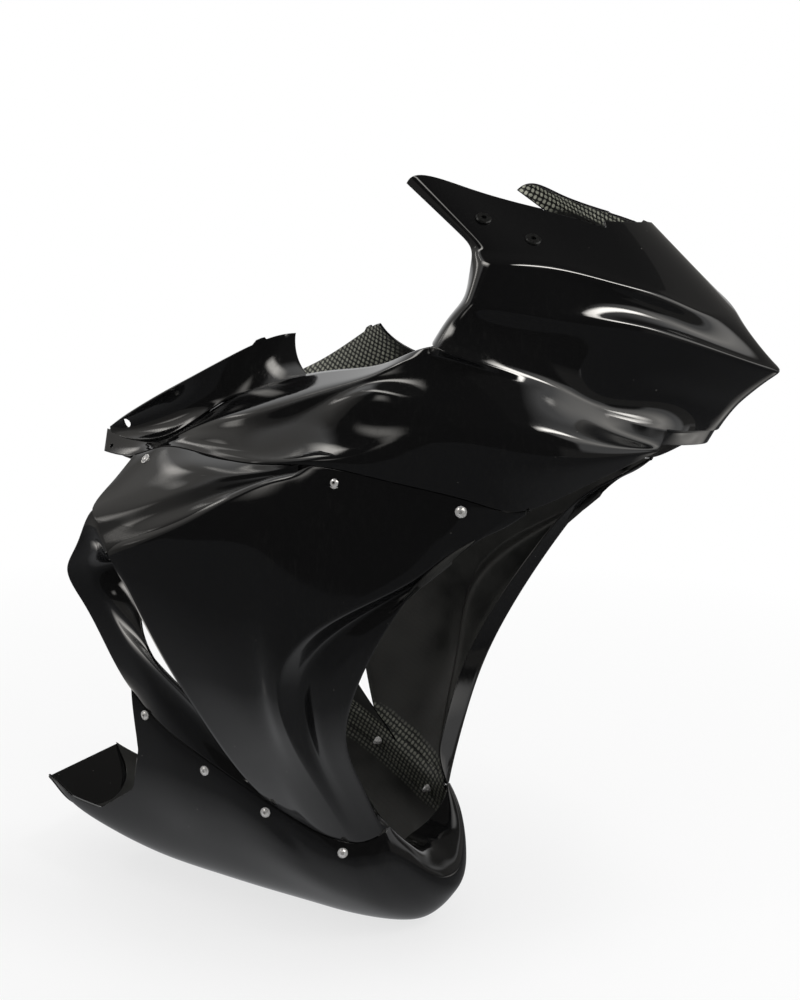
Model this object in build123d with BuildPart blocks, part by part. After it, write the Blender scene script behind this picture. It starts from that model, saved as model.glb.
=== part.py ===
"""A full race fairing for a motorcycle: an upper with its nose and arms, two side panels and a belly pan."""
import os

from build123d import *

# Frame: millimetres, X forward, Y to the rider's left, Z up. The origin lies on the centre plane,
# on the axis through the two rear fixing holes. A point of a panel is (x, half width, z).

# The laminate and the fits between panels
WALL = 3.0
LAP_CLEARANCE = 0.8
SEAM_GAP = 1.8
FLANGE_DEPTH = 26.0
FLANGE_ROOT = 14.0
FLANGE_STEP = 4.0
STEP_RELIEF = 1.0
LAP_DEPTH = WALL + LAP_CLEARANCE

# Button head screws with a flange, their washers and lock nuts
SHANK_DIAMETER = 5.0
SHANK_LENGTH = 17.0
HEAD_DIAMETER = 9.4
HEAD_FLANGE_DIAMETER = 11.8
HEAD_FLANGE_THICKNESS = 1.0
HEAD_HEIGHT = 3.0
SOCKET_ACROSS_FLATS = 3.0
SOCKET_DEPTH = 1.8
SCREW_CLEARANCE = 0.5
SEAT_CLEARANCE = 0.3
BACK_CLEARANCE = 0.5
THREAD_CLEARANCE = 0.15
WASHER_DIAMETER = 10.0
WASHER_THICKNESS = 1.0
NUT_ACROSS_FLATS = 8.0
NUT_HEIGHT = 5.0

# Rubber well nuts that take the screws of the screen
WELL_NUT_FLANGE_DIAMETER = 16.0
WELL_NUT_FLANGE_THICKNESS = 2.0
WELL_NUT_BODY_DIAMETER = 9.6
WELL_NUT_LENGTH = 13.0
WELL_NUT_CLEARANCE = 0.4
WELL_NUT_BORE = 5.4
INSERT_DIAMETER = 6.4
INSERT_LENGTH = 8.0
INSERT_BORE = 4.2

# Rear fixing hole in each arm, with the flat pad around it
STAY_HOLE_DIAMETER = 10.0
STAY_PAD_DIAMETER = 22.0
STAY_PAD_THICKNESS = 5.0

# Small plain holes, and how far a hole's cut starts outside its panel
PILOT_DIAMETER = 4.0
CUT_START = 4.0

# Upper: rows from the screen's seat down to the nose's lower edge, each from the centre to the cockpit
SCREEN_EDGE = [(584, 0, 231), (577, 40, 231), (552, 74, 234), (500, 100, 246), (440, 123, 264),
               (385, 144, 275), (378, 141, 269)]
SHOULDER_VALLEY = [(675, 0, 142), (665, 44, 145), (633, 84, 163), (589, 114, 180), (532, 146, 197),
                   (476, 170, 203), (463, 162, 206)]
SHOULDER_RIDGE = [(680, 0, 137), (671, 46, 139), (640, 90, 156), (597, 122, 172), (539, 155, 189),
                  (480, 179, 195), (465, 169, 198)]
BROW = [(731, 0, 82), (714, 30, 91), (671, 78, 112), (622, 120, 130), (554, 158, 139), (475, 190, 153),
        (460, 180, 156)]
LAMP_FACE = [(697, 0, 55), (684, 30, 60), (648, 79, 75), (603, 121, 88), (544, 161, 108), (455, 192, 132),
             (440, 182, 135)]
NOSE_EDGE = [(668, 0, 19), (660, 32, 21), (642, 86, 28), (592, 128, 47), (541, 172, 78), (440, 202, 111),
             (426, 192, 114)]
NOSE_LIP = [(659, 0, 3), (651, 31, 5), (634, 79, 13)]

# Upper: rows of the cheek and arm, each from the point of the cheek back to the arm's end
COWL_EDGE = [(642, 86, 25), (592, 129, 44), (541, 173, 75), (440, 203, 108), (378, 186, 91), (293, 152, 77),
             (189, 138, 52), (108, 134, 15)]
CHEEK_CREST = [(640, 91, 20), (597, 140, 34), (544, 179, 69), (431, 204, 99), (378, 207, 82), (315, 200, 63),
               (215, 188, 33), (118, 160, 6)]
CHEEK_VALLEY = [(639, 94, 16), (599, 145, 28), (547, 186, 55), (444, 206, 79), (378, 208, 73), (316, 201, 52),
                (216, 190, 22), (118, 163, 1)]
CHEEK_RIDGE = [(639, 96, 14), (602, 152, 21), (552, 196, 43), (450, 219, 59), (383, 217, 67), (319, 206, 43),
               (219, 195, 10), (118, 166, -3)]
SPOON_TOP = [(638, 98, 12), (604, 158, 15), (555, 203, 27), (449, 226, 34), (388, 226, 24), (329, 224, 12),
             (254, 214, -8), (119, 169, -7)]
SPOON_LOW = [(638, 99, 10), (606, 162, 7), (557, 206, 6), (444, 228, 22), (389, 229, 8), (333, 231, -3),
             (243, 216, -13), (120, 172, -11)]
UPPER_SEAM = [(637, 101, 7), (596, 150, -16), (542, 186, -44), (477, 214, -35), (405, 227, -22),
              (334, 232, -12), (231, 214, -18), (120, 176, -15)]

# Upper: the flap beside the tank and the tail below it, each from front to rear
FLAP_TOP = [(218, 98, 111), (186, 126, 101), (106, 150, 58), (47, 143, 30), (-30, 120, -6)]
FLAP_MIDDLE = [(230, 117, 90), (181, 131, 74), (120, 145, 45), (58, 137, 14), (-28, 122, -10)]
FLAP_ROOT = [(260, 143, 70), (189, 138, 50), (135, 138, 28), (83, 134, -3), (-22, 124, -16)]
TAIL_TOP = [(110, 134, 15), (61, 133, -7), (11, 126, -10), (-35, 119, -9)]
TAIL_LOW = [(120, 176, -15), (75, 162, -18), (27, 150, -32), (-27, 136, -33)]

# Belly pan: half ribs from the tail to the bow, each from the seam down to the keel
BELLY_RIBS = [
    [(-231, 78, -440), (-217, 77, -459), (-202, 74, -480),
     (-186, 68, -501), (-166, 54, -529), (-154, 0, -545)],
    [(-110, 115, -258), (-108, 118, -330), (-105, 110, -410),
     (-100, 96, -492), (-92, 74, -542), (-86, 0, -560)],
    [(-2, 131, -326), (2, 133, -354), (5, 130, -420),
     (6, 116, -490), (8, 84, -556), (10, 0, -572)],
    [(60, 140, -366), (65, 142, -394), (72, 138, -445),
     (78, 120, -505), (85, 82, -564), (90, 0, -580)],
    [(125, 144, -394), (130, 145, -422), (138, 139, -465),
     (144, 118, -518), (150, 77, -571), (155, 0, -586)],
    [(190, 141, -424), (195, 142, -452), (202, 135, -490),
     (208, 110, -535), (216, 68, -579), (222, 0, -593)],
    [(235, 131, -449), (240, 132, -477), (248, 124, -512),
     (255, 98, -550), (262, 58, -586), (268, 0, -600)],
    [(262, 123, -462), (268, 124, -488), (277, 115, -519),
     (286, 90, -554), (294, 50, -588), (298, 0, -603)],
    [(280, 115, -468), (289, 116, -492), (299, 106, -520),
     (309, 82, -554), (318, 44, -586), (322, 0, -601)],
    [(292, 108, -471), (302, 108, -493), (314, 97, -519),
     (325, 74, -551), (335, 40, -580), (339, 0, -594)],
    [(300, 103, -471), (312, 102, -491), (325, 91, -515),
     (338, 68, -545), (349, 36, -570), (354, 0, -581)],
    [(310, 96, -468), (322, 95, -486), (336, 83, -508),
     (351, 61, -534), (363, 32, -555), (368, 0, -563)],
    [(321, 87, -461), (333, 84, -478), (347, 72, -498),
     (361, 52, -521), (372, 27, -537), (376, 0, -542)],
    [(323, 80, -457), (333, 73, -471), (344, 60, -486),
     (354, 42, -502), (361, 21, -511), (363, 0, -514)],
    [(322, 77, -456), (325, 67, -467), (323, 53, -479),
     (318, 36, -490), (313, 18, -496), (310, 0, -498)],
]
TAIL_CUT = [(-280, -489), (-195, -489), (-150, -508), (-88, -506), (-14, -458), (5, -400), (-4, -320),
            (-4, -250), (-280, -250)]
TAIL_CUT_RADIUS = 9.0
TAIL_CUT_HALF_WIDTH = 220.0
TAIL_WALL_ORIGIN = (-195, 0, -489)
TAIL_WALL_NORMAL = (0.807, 0, 0.591)
TAIL_WALL_INSET = 1.0

# Side panel: columns from the rear edge to the leading edge, each from the top down to the belly's seam
REAR_EDGE = [(43, 226, -126), (55, 226, -148), (77, 221, -195), (105, 208, -257), (135, 189, -319),
             (167, 162, -387)]
FLANK_REAR = [(155, 236, -78), (169, 239, -107), (192, 237, -166), (203, 227, -234), (213, 206, -300),
              (225, 169, -382)]
FLANK_MIDDLE = [(314, 231, -16), (288, 240, -60), (268, 244, -123), (252, 237, -202), (247, 217, -286),
                (251, 168, -388)]
FLANK_FRONT = [(405, 227, -24), (368, 235, -79), (310, 244, -142), (267, 239, -216), (259, 219, -294),
               (267, 167, -388)]
VENT_EDGE = [(477, 214, -37), (450, 219, -101), (353, 238, -164), (282, 236, -233), (275, 214, -304),
             (281, 163, -389)]
VENT_FLOOR = [(497, 208, -45), (459, 214, -100), (367, 221, -168), (299, 218, -240), (287, 199, -309),
              (289, 152, -391)]
VANE = [(520, 199, -51), (467, 211, -98), (386, 220, -171), (321, 213, -254), (302, 191, -319),
        (300, 143, -395)]
LEADING_EDGE = [(542, 186, -53), (474, 210, -88), (413, 221, -154), (363, 211, -236), (331, 187, -309),
                (321, 136, -386)]
LEADING_LIP = [(528, 168, -59), (457, 190, -97), (394, 199, -163), (342, 188, -242), (310, 164, -313),
               (303, 118, -381), (306, 75, -446)]

# Side panel: rows of the scoop at the top, each from its point back to the rear
SCOOP_TOP = [(300, 229, -19), (231, 214, -23), (148, 187, -21), (77, 165, -22), (29, 153, -36)]
SCOOP_MIDDLE = [(300, 229, -20), (219, 218, -28), (146, 203, -31), (71, 185, -45), (13, 173, -62)]
SCOOP_SHOULDER = [(300, 229, -22), (210, 221, -33), (145, 212, -44), (73, 203, -65), (2, 196, -90)]
SCOOP_RIDGE = [(300, 229, -24), (205, 222, -38), (146, 219, -54), (85, 214, -77), (18, 208, -103)]
SCOOP_GROOVE = [(300, 229, -26), (240, 228, -41), (175, 227, -63), (104, 222, -88), (28, 214, -116)]
SCOOP_ROOT = [(300, 229, -30), (302, 229, -42)]

# Side panel: columns of the set-back strip behind the rear edge, each from the top down to the belly's seam
STRIP_REAR = [(-29, 186, -132), (-58, 174, -171), (-45, 162, -216), (-21, 146, -280)]
STRIP_FOLD = [(-5, 190, -135), (-23, 172, -166), (-10, 160, -215), (20, 150, -278)]
STRIP_POCKET = [(13, 190, -140), (2, 165, -172), (26, 156, -226), (64, 150, -295)]
STRIP_INNER = [(30, 194, -144), (24, 176, -178), (62, 170, -238), (108, 162, -312)]

# Where the screws and the well nuts sit: x and z, with the half width only as a first guess
UPPER_SCREWS = [(58, 168, -32), (345, 234, -27), (477, 214, -48)]
BELLY_SCREWS = [(21, 135, -352), (113, 144, -403), (195, 140, -440), (282, 114, -482)]
SCREEN_HOLES = [(469, 150, 235), (515, 135, 213)]
SCREEN_PILOT = (564, 108, 216)
TAIL_PILOT = (-17, 130, -28)


def normals(rows):
    """The inward normals, at each point, of the surface that the rows describe."""
    grid = [[Vector(point) for point in row] for row in rows]
    found = []
    for i, row in enumerate(grid):
        above = grid[max(i - 1, 0)]
        below = grid[min(i + 1, len(grid) - 1)]
        line = []
        for k in range(len(row)):
            along = row[min(k + 1, len(row) - 1)] - row[max(k - 1, 0)]
            line.append(along.cross(below[k] - above[k]).normalized())
        found.append(line)
    return found


def inset(rows, depth):
    """The rows moved in by depth along those normals."""
    return [[Vector(point) + normal * depth for point, normal in zip(row, line)]
            for row, line in zip(rows, normals(rows))]


def whole(half_row):
    """A row given from the centre to the left, continued over the centre plane to the right."""
    right = [(x, -half_width, z) for x, half_width, z in reversed(half_row[1:])]
    return right + list(half_row)


def spacing(rows):
    """One set of curve parameters for all rows, spaced as the points are on average."""
    places = [0.0]
    for k in range(len(rows[0]) - 1):
        lengths = [(Vector(row[k + 1]) - Vector(row[k])).length for row in rows]
        places.append(places[-1] + sum(lengths) / len(lengths))
    return [place / places[-1] for place in places]


def spline_edge(points, places):
    """A smooth curve through points, each at its place along it."""
    return Edge.make_spline([Vector(point) for point in points], parameters=places)


def sheet(rows, places):
    """A smooth face through the rows, lofted over evenly spaced sections."""
    sections = rows
    if len(rows) > 2:
        columns = list(zip(*rows))
        steps = spacing(columns)
        curves = [spline_edge(column, steps) for column in columns]
        count = 2 * len(rows)
        sections = [[edge.position_at(n / count, PositionMode.PARAMETER) for edge in curves]
                    for n in range(count + 1)]
    wires = [Wire([spline_edge(row, places)]) for row in sections]
    return Shell.make_loft(wires).faces()[0]


def end_edge(face, row_ends):
    """The edge of a sheet that runs between two given corners."""
    start, finish = Vector(row_ends[0]), Vector(row_ends[-1])

    def miss(edge):
        forward = (edge @ 0 - start).length + (edge @ 1 - finish).length
        backward = (edge @ 0 - finish).length + (edge @ 1 - start).length
        return min(forward, backward)

    return min(face.edges(), key=miss)


def skin(rows, creases=(), depth=WALL):
    """A moulded wall: its outside runs through the rows, with a crease along each row that is named."""
    inner_rows = inset(rows, depth)
    places = spacing(rows)
    cuts = [0, *creases, len(rows) - 1]
    faces = []
    for first, last in zip(cuts, cuts[1:]):
        outside = sheet(rows[first:last + 1], places)
        inside = sheet(inner_rows[first:last + 1], places)
        faces += [outside, inside]
        for end in (0, -1):
            outer_ends = [row[end] for row in rows[first:last + 1]]
            inner_ends = [row[end] for row in inner_rows[first:last + 1]]
            outer_end = end_edge(outside, outer_ends)
            faces.append(Face.make_surface_from_curves(outer_end, end_edge(inside, inner_ends)))
    for border in (0, -1):
        outer_edge = spline_edge(rows[border], places)
        faces.append(Face.make_surface_from_curves(outer_edge, spline_edge(inner_rows[border], places)))
    return Solid(Shell(faces))


def mix(points, station):
    """The point at a fractional place in a list of points."""
    first = min(int(station), len(points) - 2)
    return Vector(points[first]) + (Vector(points[first + 1]) - Vector(points[first])) * (station - first)


def toward(start, finish, distance):
    """The point at a distance from start on the way to finish."""
    start = Vector(start)
    return start + (Vector(finish) - start).normalized() * distance


def mirrored(plane):
    """The plane on the other side of the centre plane."""
    origin, normal = plane.origin, plane.z_dir
    return Plane(origin=(origin.X, -origin.Y, origin.Z), z_dir=(normal.X, -normal.Y, normal.Z))


def seat(faces, guess):
    """The plane on the nearest of some left-hand faces, at its point nearest to the guess, facing out."""
    face = min(faces, key=lambda candidate: candidate.distance_to(Vertex(*guess)))
    point = face.distance_to_with_closest_points(Vertex(*guess))[1]
    normal = face.normal_at(point)
    return Plane(origin=point, z_dir=normal if normal.Y > 0 else -normal)


# Rows of the panels, completed from the tables above
belly_rows = []
for rib in BELLY_RIBS:
    belly_rows.append(rib + [(x, -half_width, z) for x, half_width, z in reversed(rib[:-1])])
seam_feet = [(rib[0][0], rib[0][1], rib[0][2] + SEAM_GAP) for rib in BELLY_RIBS]

flank_columns = [REAR_EDGE, FLANK_REAR, FLANK_MIDDLE, FLANK_FRONT, VENT_EDGE, VENT_FLOOR, VANE, LEADING_EDGE]
flank_columns = [column + [foot] for column, foot in zip(flank_columns, seam_feet[5:13])]
crease_points = [column[0] for column in flank_columns[:5]]
crease_places = spacing([crease_points])
crease_curve = spline_edge(crease_points, crease_places)
crease_end = crease_places[2]
crease = [crease_curve.position_at(crease_end * (1 - n / 4), PositionMode.PARAMETER) for n in range(1, 5)]
scoop_root = [SCOOP_ROOT[:1] + [point + Vector(1, -WALL / 2, -4) for point in crease],
              SCOOP_ROOT[1:] + [point + Vector(4, -WALL / 2, -FLANGE_ROOT) for point in crease]]
scoop_rows = [SCOOP_TOP, SCOOP_MIDDLE, SCOOP_SHOULDER, SCOOP_RIDGE, SCOOP_GROOVE] + scoop_root

scoop_middle = inset(scoop_rows, WALL / 2)
strip_feet = seam_feet[2:5] + [tuple(inset(flank_columns, WALL / 2)[1][-1])]
strip_columns = []
for row, column, foot in zip((2, 3, 4, 5), (STRIP_REAR, STRIP_FOLD, STRIP_POCKET, STRIP_INNER), strip_feet):
    rim, ahead = scoop_middle[row][-1], scoop_middle[row][-2]
    strip_columns.append([toward(rim, ahead, FLANGE_ROOT), rim, *column, foot])

cheek_rows = [COWL_EDGE, CHEEK_CREST, CHEEK_VALLEY, CHEEK_RIDGE, SPOON_TOP, SPOON_LOW, UPPER_SEAM]
cheek_middle = inset(cheek_rows, WALL / 2)
cheek_lap = [(cheek_middle[0][k] + cheek_middle[1][k]) / 2 for k in (1, 2, 3)]
cheek_lap.append(cheek_lap[-1] + Vector(NOSE_EDGE[-1]) - Vector(NOSE_EDGE[-2]))
nose_lip = NOSE_LIP + [tuple(point) for point in cheek_lap]
nose_rows = [SCREEN_EDGE, SHOULDER_VALLEY, SHOULDER_RIDGE, BROW, LAMP_FACE, NOSE_EDGE, nose_lip]
nose_rows = [whole(row) for row in nose_rows]

# The outer faces of the panels on the left, as far as seams and fasteners need them


def outer_faces(rows, creases=()):
    """The sheets between the creases of a moulded wall."""
    cuts = [0, *creases, len(rows) - 1]
    return [sheet(rows[first:last + 1], spacing(rows)) for first, last in zip(cuts, cuts[1:])]


flank_creases = (4, 5, 7)
scoop_creases = (3, 4, 5)
strip_creases = (1,)
cheek_creases = (1, 4, 5)
nose_creases = (1, 2, 3, 5)
flank_faces = outer_faces(flank_columns + [LEADING_LIP], flank_creases)[:3]
scoop_faces = outer_faces(scoop_rows, scoop_creases)[:1]
strip_faces = outer_faces(strip_columns, strip_creases)
cheek_faces = outer_faces(cheek_rows, cheek_creases)[-1:]
screen_faces = outer_faces(nose_rows, nose_creases)[:1]
tail_faces = outer_faces([TAIL_TOP, TAIL_LOW])
belly_faces = outer_faces(belly_rows)

# Flanges: each is stepped in from its own panel and lies behind the edge of the next one


def flange(own_faces, other_faces, stations):
    """A flange through stations along a seam: on each of two panels, a point on it and one away from it."""
    rows = [[], [], [], []]
    for foot, above, top, below in stations:
        root = seat(own_faces, toward(foot, above, FLANGE_ROOT))
        step = seat(own_faces, toward(foot, above, FLANGE_STEP))
        edge = seat(other_faces, top)
        low = seat(other_faces, toward(top, below, FLANGE_DEPTH))
        depths = (0.3 * WALL, LAP_DEPTH + STEP_RELIEF, LAP_DEPTH, LAP_DEPTH)
        for row, plane, depth in zip(rows, (root, step, edge, low), depths):
            row.append(plane.offset(-depth).origin)
    return skin(rows, (1, 2))


# Behind the front of the side panel: places on the flank's columns and on the cheek's rows that meet
flank_tops, flank_seconds = list(zip(*flank_columns))[:2]
front_stations = []
for n, k in ((5.7, 2.4), (5, 2.7), (4, 3), (3.5, 3.5), (3, 4), (2.5, 4.6), (2.1, 5.1)):
    top = mix(flank_tops, n)
    rise = mix(SPOON_LOW, k) - mix(UPPER_SEAM, k)
    front_stations.append((top, top + rise, top, mix(flank_seconds, n)))
front_flange = flange(cheek_faces, flank_faces, front_stations)

# Behind the top of the scoop: places on the tail's rows and on the scoop's rows that meet
rear_stations = []
for n, k in ((0, 2.4), (0.5, 2.7), (1, 3), (1.5, 3.5), (2, 4)):
    rear_stations.append((mix(TAIL_LOW, n), mix(TAIL_TOP, n), mix(scoop_rows[0], k), mix(scoop_rows[1], k)))
rear_flange = flange(tail_faces, scoop_faces, rear_stations)

# Behind the top of the belly pan, from its bow back
foot_columns = strip_columns[:3] + flank_columns[:7]
feet, knees = [column[-1] for column in foot_columns], [column[-2] for column in foot_columns]
rims, walls = [rib[0] for rib in belly_rows[2:12]], [rib[1] for rib in belly_rows[2:12]]
belly_stations = []
for n in (9, 8, 7, 6, 5, 4, 3, 2, 1, 0.3):
    belly_stations.append((mix(feet, n), mix(knees, n), mix(rims, n), mix(walls, n)))
belly_flange = flange(flank_faces + strip_faces, belly_faces, belly_stations)

# The seats of the fasteners
upper_seats = [seat(scoop_faces + flank_faces, point) for point in UPPER_SCREWS]
belly_seats = [seat(belly_faces, point) for point in BELLY_SCREWS]
screen_seats = [seat(screen_faces, point) for point in SCREEN_HOLES]
screen_axis = screen_seats[0].z_dir + screen_seats[1].z_dir
screen_seats = [Plane(origin=plane.origin, z_dir=screen_axis) for plane in screen_seats]
pilot_seats = [seat(screen_faces, SCREEN_PILOT), seat(tail_faces, TAIL_PILOT)]
flap_face = outer_faces([FLAP_TOP, FLAP_MIDDLE, FLAP_ROOT])[0]
stay_point = flap_face.find_intersection_points(Axis.Y)[0][0]
stay_plane = Plane(origin=stay_point, z_dir=(0, 1, 0)).offset(-WALL / 2)

screw_hole = (SHANK_DIAMETER + SCREW_CLEARANCE) / 2
screw_cut = CUT_START + SHANK_LENGTH
well_nut_hole = (WELL_NUT_BODY_DIAMETER + WELL_NUT_CLEARANCE) / 2
upper_cuts = [plane.offset(CUT_START) for plane in upper_seats]
belly_cuts = [plane.offset(CUT_START) for plane in belly_seats]
screen_cuts = [plane.offset(CUT_START) for plane in screen_seats]
pilot_cuts = [plane.offset(CUT_START) for plane in pilot_seats]


def backs(solid, planes):
    """For each seat, the plane where its axis leaves the back of the solid, facing out as the seat does."""
    found = []
    for plane in planes:
        hits = solid.find_intersection_points(Axis(plane.origin, plane.z_dir))
        depths = [(plane.origin - point).dot(plane.z_dir) for point, normal in hits]
        found.append(plane.offset(-max(depth for depth in depths if depth < SHANK_LENGTH)))
    return found


upper_backs = backs(front_flange, upper_seats[1:])
upper_backs = backs(rear_flange, upper_seats[:1]) + upper_backs
belly_backs = backs(belly_flange, belly_seats)

# Upper fairing: the left cheek, arm and flanges, their mirror image, and the nose across both
with BuildPart() as upper_fairing:
    add(skin(cheek_rows, cheek_creases))
    add(skin([FLAP_TOP, FLAP_MIDDLE, FLAP_ROOT]))
    add(skin([TAIL_TOP, TAIL_LOW]))
    add(front_flange)
    add(rear_flange)
    with Locations(stay_plane):
        Cylinder(STAY_PAD_DIAMETER / 2, STAY_PAD_THICKNESS)
    with Locations(stay_plane.offset(STAY_PAD_DIAMETER / 2)):
        Hole(STAY_HOLE_DIAMETER / 2, depth=STAY_PAD_DIAMETER)
    with Locations(*upper_cuts):
        Hole(screw_hole, depth=screw_cut)
    mirror(about=Plane.XZ)
    add(skin(nose_rows, nose_creases))
    with Locations(*screen_cuts, *[mirrored(plane) for plane in screen_cuts]):
        Hole(well_nut_hole, depth=2 * CUT_START + WALL)
    with Locations(*pilot_cuts, *[mirrored(plane) for plane in pilot_cuts]):
        Hole(PILOT_DIAMETER / 2, depth=2 * CUT_START + WALL)

# Side panels: the flank with its vent and rolled leading edge, the scoop and the strip behind
with BuildPart() as left_side_panel:
    add(skin(flank_columns + [LEADING_LIP], flank_creases))
    add(skin(scoop_rows, scoop_creases))
    add(skin(strip_columns, strip_creases))
    add(belly_flange)
    with Locations(*upper_cuts, *belly_cuts):
        Hole(screw_hole, depth=screw_cut)
with BuildPart() as right_side_panel:
    mirror(left_side_panel.part, about=Plane.XZ)

# Belly pan: the tub, its slanted end wall and the dipped rim at the tail
tail_plane = Plane(origin=TAIL_WALL_ORIGIN, x_dir=(0, 1, 0), z_dir=TAIL_WALL_NORMAL).offset(TAIL_WALL_INSET)
tail_outline = [tail_plane.to_local_coords(point) for point in inset(belly_rows, WALL / 2)[0]]
with BuildPart() as belly_pan:
    add(skin(belly_rows))
    with BuildSketch(tail_plane):
        with BuildLine():
            Spline(*[(point.X, point.Y) for point in tail_outline])
            Line((tail_outline[-1].X, tail_outline[-1].Y), (tail_outline[0].X, tail_outline[0].Y))
        make_face()
    extrude(amount=WALL)
    with BuildSketch(Plane.XZ):
        with BuildLine():
            FilletPolyline(*TAIL_CUT, radius=TAIL_CUT_RADIUS, close=True)
        make_face()
    extrude(amount=TAIL_CUT_HALF_WIDTH, both=True, mode=Mode.SUBTRACT)
    with Locations(*belly_cuts, *[mirrored(plane) for plane in belly_cuts]):
        Hole(screw_hole, depth=screw_cut)

# One fastener of each kind, with its seat on the XY plane and its outside upward
with BuildPart() as screw:
    with BuildSketch(Plane.XZ):
        with BuildLine():
            Polyline((0, -SHANK_LENGTH), (SHANK_DIAMETER / 2, -SHANK_LENGTH), (SHANK_DIAMETER / 2, 0),
                     (HEAD_FLANGE_DIAMETER / 2, 0), (HEAD_FLANGE_DIAMETER / 2, HEAD_FLANGE_THICKNESS),
                     (HEAD_DIAMETER / 2, HEAD_FLANGE_THICKNESS))
            ThreePointArc((HEAD_DIAMETER / 2, HEAD_FLANGE_THICKNESS),
                          (HEAD_DIAMETER * 0.38, HEAD_HEIGHT * 0.7 + HEAD_FLANGE_THICKNESS * 0.3),
                          (SOCKET_ACROSS_FLATS * 0.8, HEAD_HEIGHT))
            Polyline((SOCKET_ACROSS_FLATS * 0.8, HEAD_HEIGHT), (0, HEAD_HEIGHT), (0, -SHANK_LENGTH))
        make_face()
    revolve(axis=Axis.Z)
    with BuildSketch(Plane.XY.offset(HEAD_HEIGHT)):
        RegularPolygon(SOCKET_ACROSS_FLATS / 2, 6, major_radius=False)
    extrude(amount=-SOCKET_DEPTH, mode=Mode.SUBTRACT)

with BuildPart() as washer:
    with BuildSketch(Plane.XY):
        Circle(WASHER_DIAMETER / 2)
        Circle(screw_hole, mode=Mode.SUBTRACT)
    extrude(amount=-WASHER_THICKNESS)

with BuildPart() as nut:
    with BuildSketch(Plane.XY.offset(-WASHER_THICKNESS)):
        RegularPolygon(NUT_ACROSS_FLATS / 2, 6, major_radius=False)
    extrude(amount=-NUT_HEIGHT * 0.75)
    with BuildSketch(Plane.XY.offset(-WASHER_THICKNESS)):
        Circle(NUT_ACROSS_FLATS * 0.45)
    extrude(amount=-NUT_HEIGHT)
    fillet(nut.faces().sort_by(Axis.Z)[0].edges(), NUT_HEIGHT * 0.12)
    with Locations((0, 0, 0)):
        Hole(SHANK_DIAMETER / 2 + THREAD_CLEARANCE)

with BuildPart() as well_nut:
    with BuildSketch(Plane.XZ):
        with BuildLine():
            Polyline((WELL_NUT_BORE / 2, WELL_NUT_FLANGE_THICKNESS),
                     (WELL_NUT_BORE / 2, INSERT_LENGTH - WELL_NUT_LENGTH),
                     (INSERT_DIAMETER / 2, INSERT_LENGTH - WELL_NUT_LENGTH),
                     (INSERT_DIAMETER / 2, -WELL_NUT_LENGTH),
                     (WELL_NUT_BODY_DIAMETER / 2, -WELL_NUT_LENGTH),
                     (WELL_NUT_BODY_DIAMETER / 2, 0),
                     (WELL_NUT_FLANGE_DIAMETER / 2, 0),
                     (WELL_NUT_FLANGE_DIAMETER / 2, WELL_NUT_FLANGE_THICKNESS / 2),
                     ((WELL_NUT_FLANGE_DIAMETER - WELL_NUT_FLANGE_THICKNESS) / 2, WELL_NUT_FLANGE_THICKNESS),
                     close=True)
        make_face()
    revolve(axis=Axis.Z)

with BuildPart() as insert:
    with BuildSketch(Plane.XY.offset(-WELL_NUT_LENGTH)):
        Circle(INSERT_DIAMETER / 2)
        Circle(INSERT_BORE / 2, mode=Mode.SUBTRACT)
    extrude(amount=INSERT_LENGTH)

# Where each kind sits on the left
seated = {
    "upper_screws": (screw, [plane.offset(SEAT_CLEARANCE) for plane in upper_seats]),
    "upper_washers": (washer, [plane.offset(-BACK_CLEARANCE) for plane in upper_backs]),
    "upper_nuts": (nut, [plane.offset(-BACK_CLEARANCE) for plane in upper_backs]),
    "belly_screws": (screw, [plane.offset(SEAT_CLEARANCE) for plane in belly_seats]),
    "belly_washers": (washer, [plane.offset(-BACK_CLEARANCE) for plane in belly_backs]),
    "belly_nuts": (nut, [plane.offset(-BACK_CLEARANCE) for plane in belly_backs]),
    "screen_well_nuts": (well_nut, [plane.offset(SEAT_CLEARANCE) for plane in screen_seats]),
    "screen_inserts": (insert, [plane.offset(SEAT_CLEARANCE) for plane in screen_seats]),
}

os.makedirs("parts", exist_ok=True)
upper_fairing.part.label = "upper_fairing"
export_step(upper_fairing.part, "parts/upper_fairing.step")
left_side_panel.part.label = "left_side_panel"
export_step(left_side_panel.part, "parts/left_side_panel.step")
right_side_panel.part.label = "right_side_panel"
export_step(right_side_panel.part, "parts/right_side_panel.step")
belly_pan.part.label = "belly_pan"
export_step(belly_pan.part, "parts/belly_pan.step")

# The fasteners in groups, one for each kind, seam and side
for kind, (master, left_planes) in seated.items():
    for side, planes in (("left", left_planes), ("right", [mirrored(plane) for plane in left_planes])):
        with BuildPart() as group:
            with Locations(*planes):
                add(master.part)
        group.part.label = f"{side}_{kind}"
        export_step(group.part, f"parts/{side}_{kind}.step")
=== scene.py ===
# %% [markdown]
# # A race fairing in gloss black
# A race fairing is a shell of four thin mouldings: an upper with the nose and two arms, two side panels, and
# a belly pan that holds back spilt oil. Each is laid up by hand in a mould, from woven cloth and resin. So
# the outside copies the polish of the mould, and the inside shows the cloth. Screws hold the four together
# along lapped seams.
#
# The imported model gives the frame, the fasteners and the size. Gloss black has hardly any colour of its own:
# what the eye reads is reflections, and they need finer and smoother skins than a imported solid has. So each
# moulding is draped again here, over the same rows of points that shape its solid, and stands in for that
# solid.

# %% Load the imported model
import math

import bmesh
import bpy
import numpy as np
from mathutils import Matrix, Vector


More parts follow.
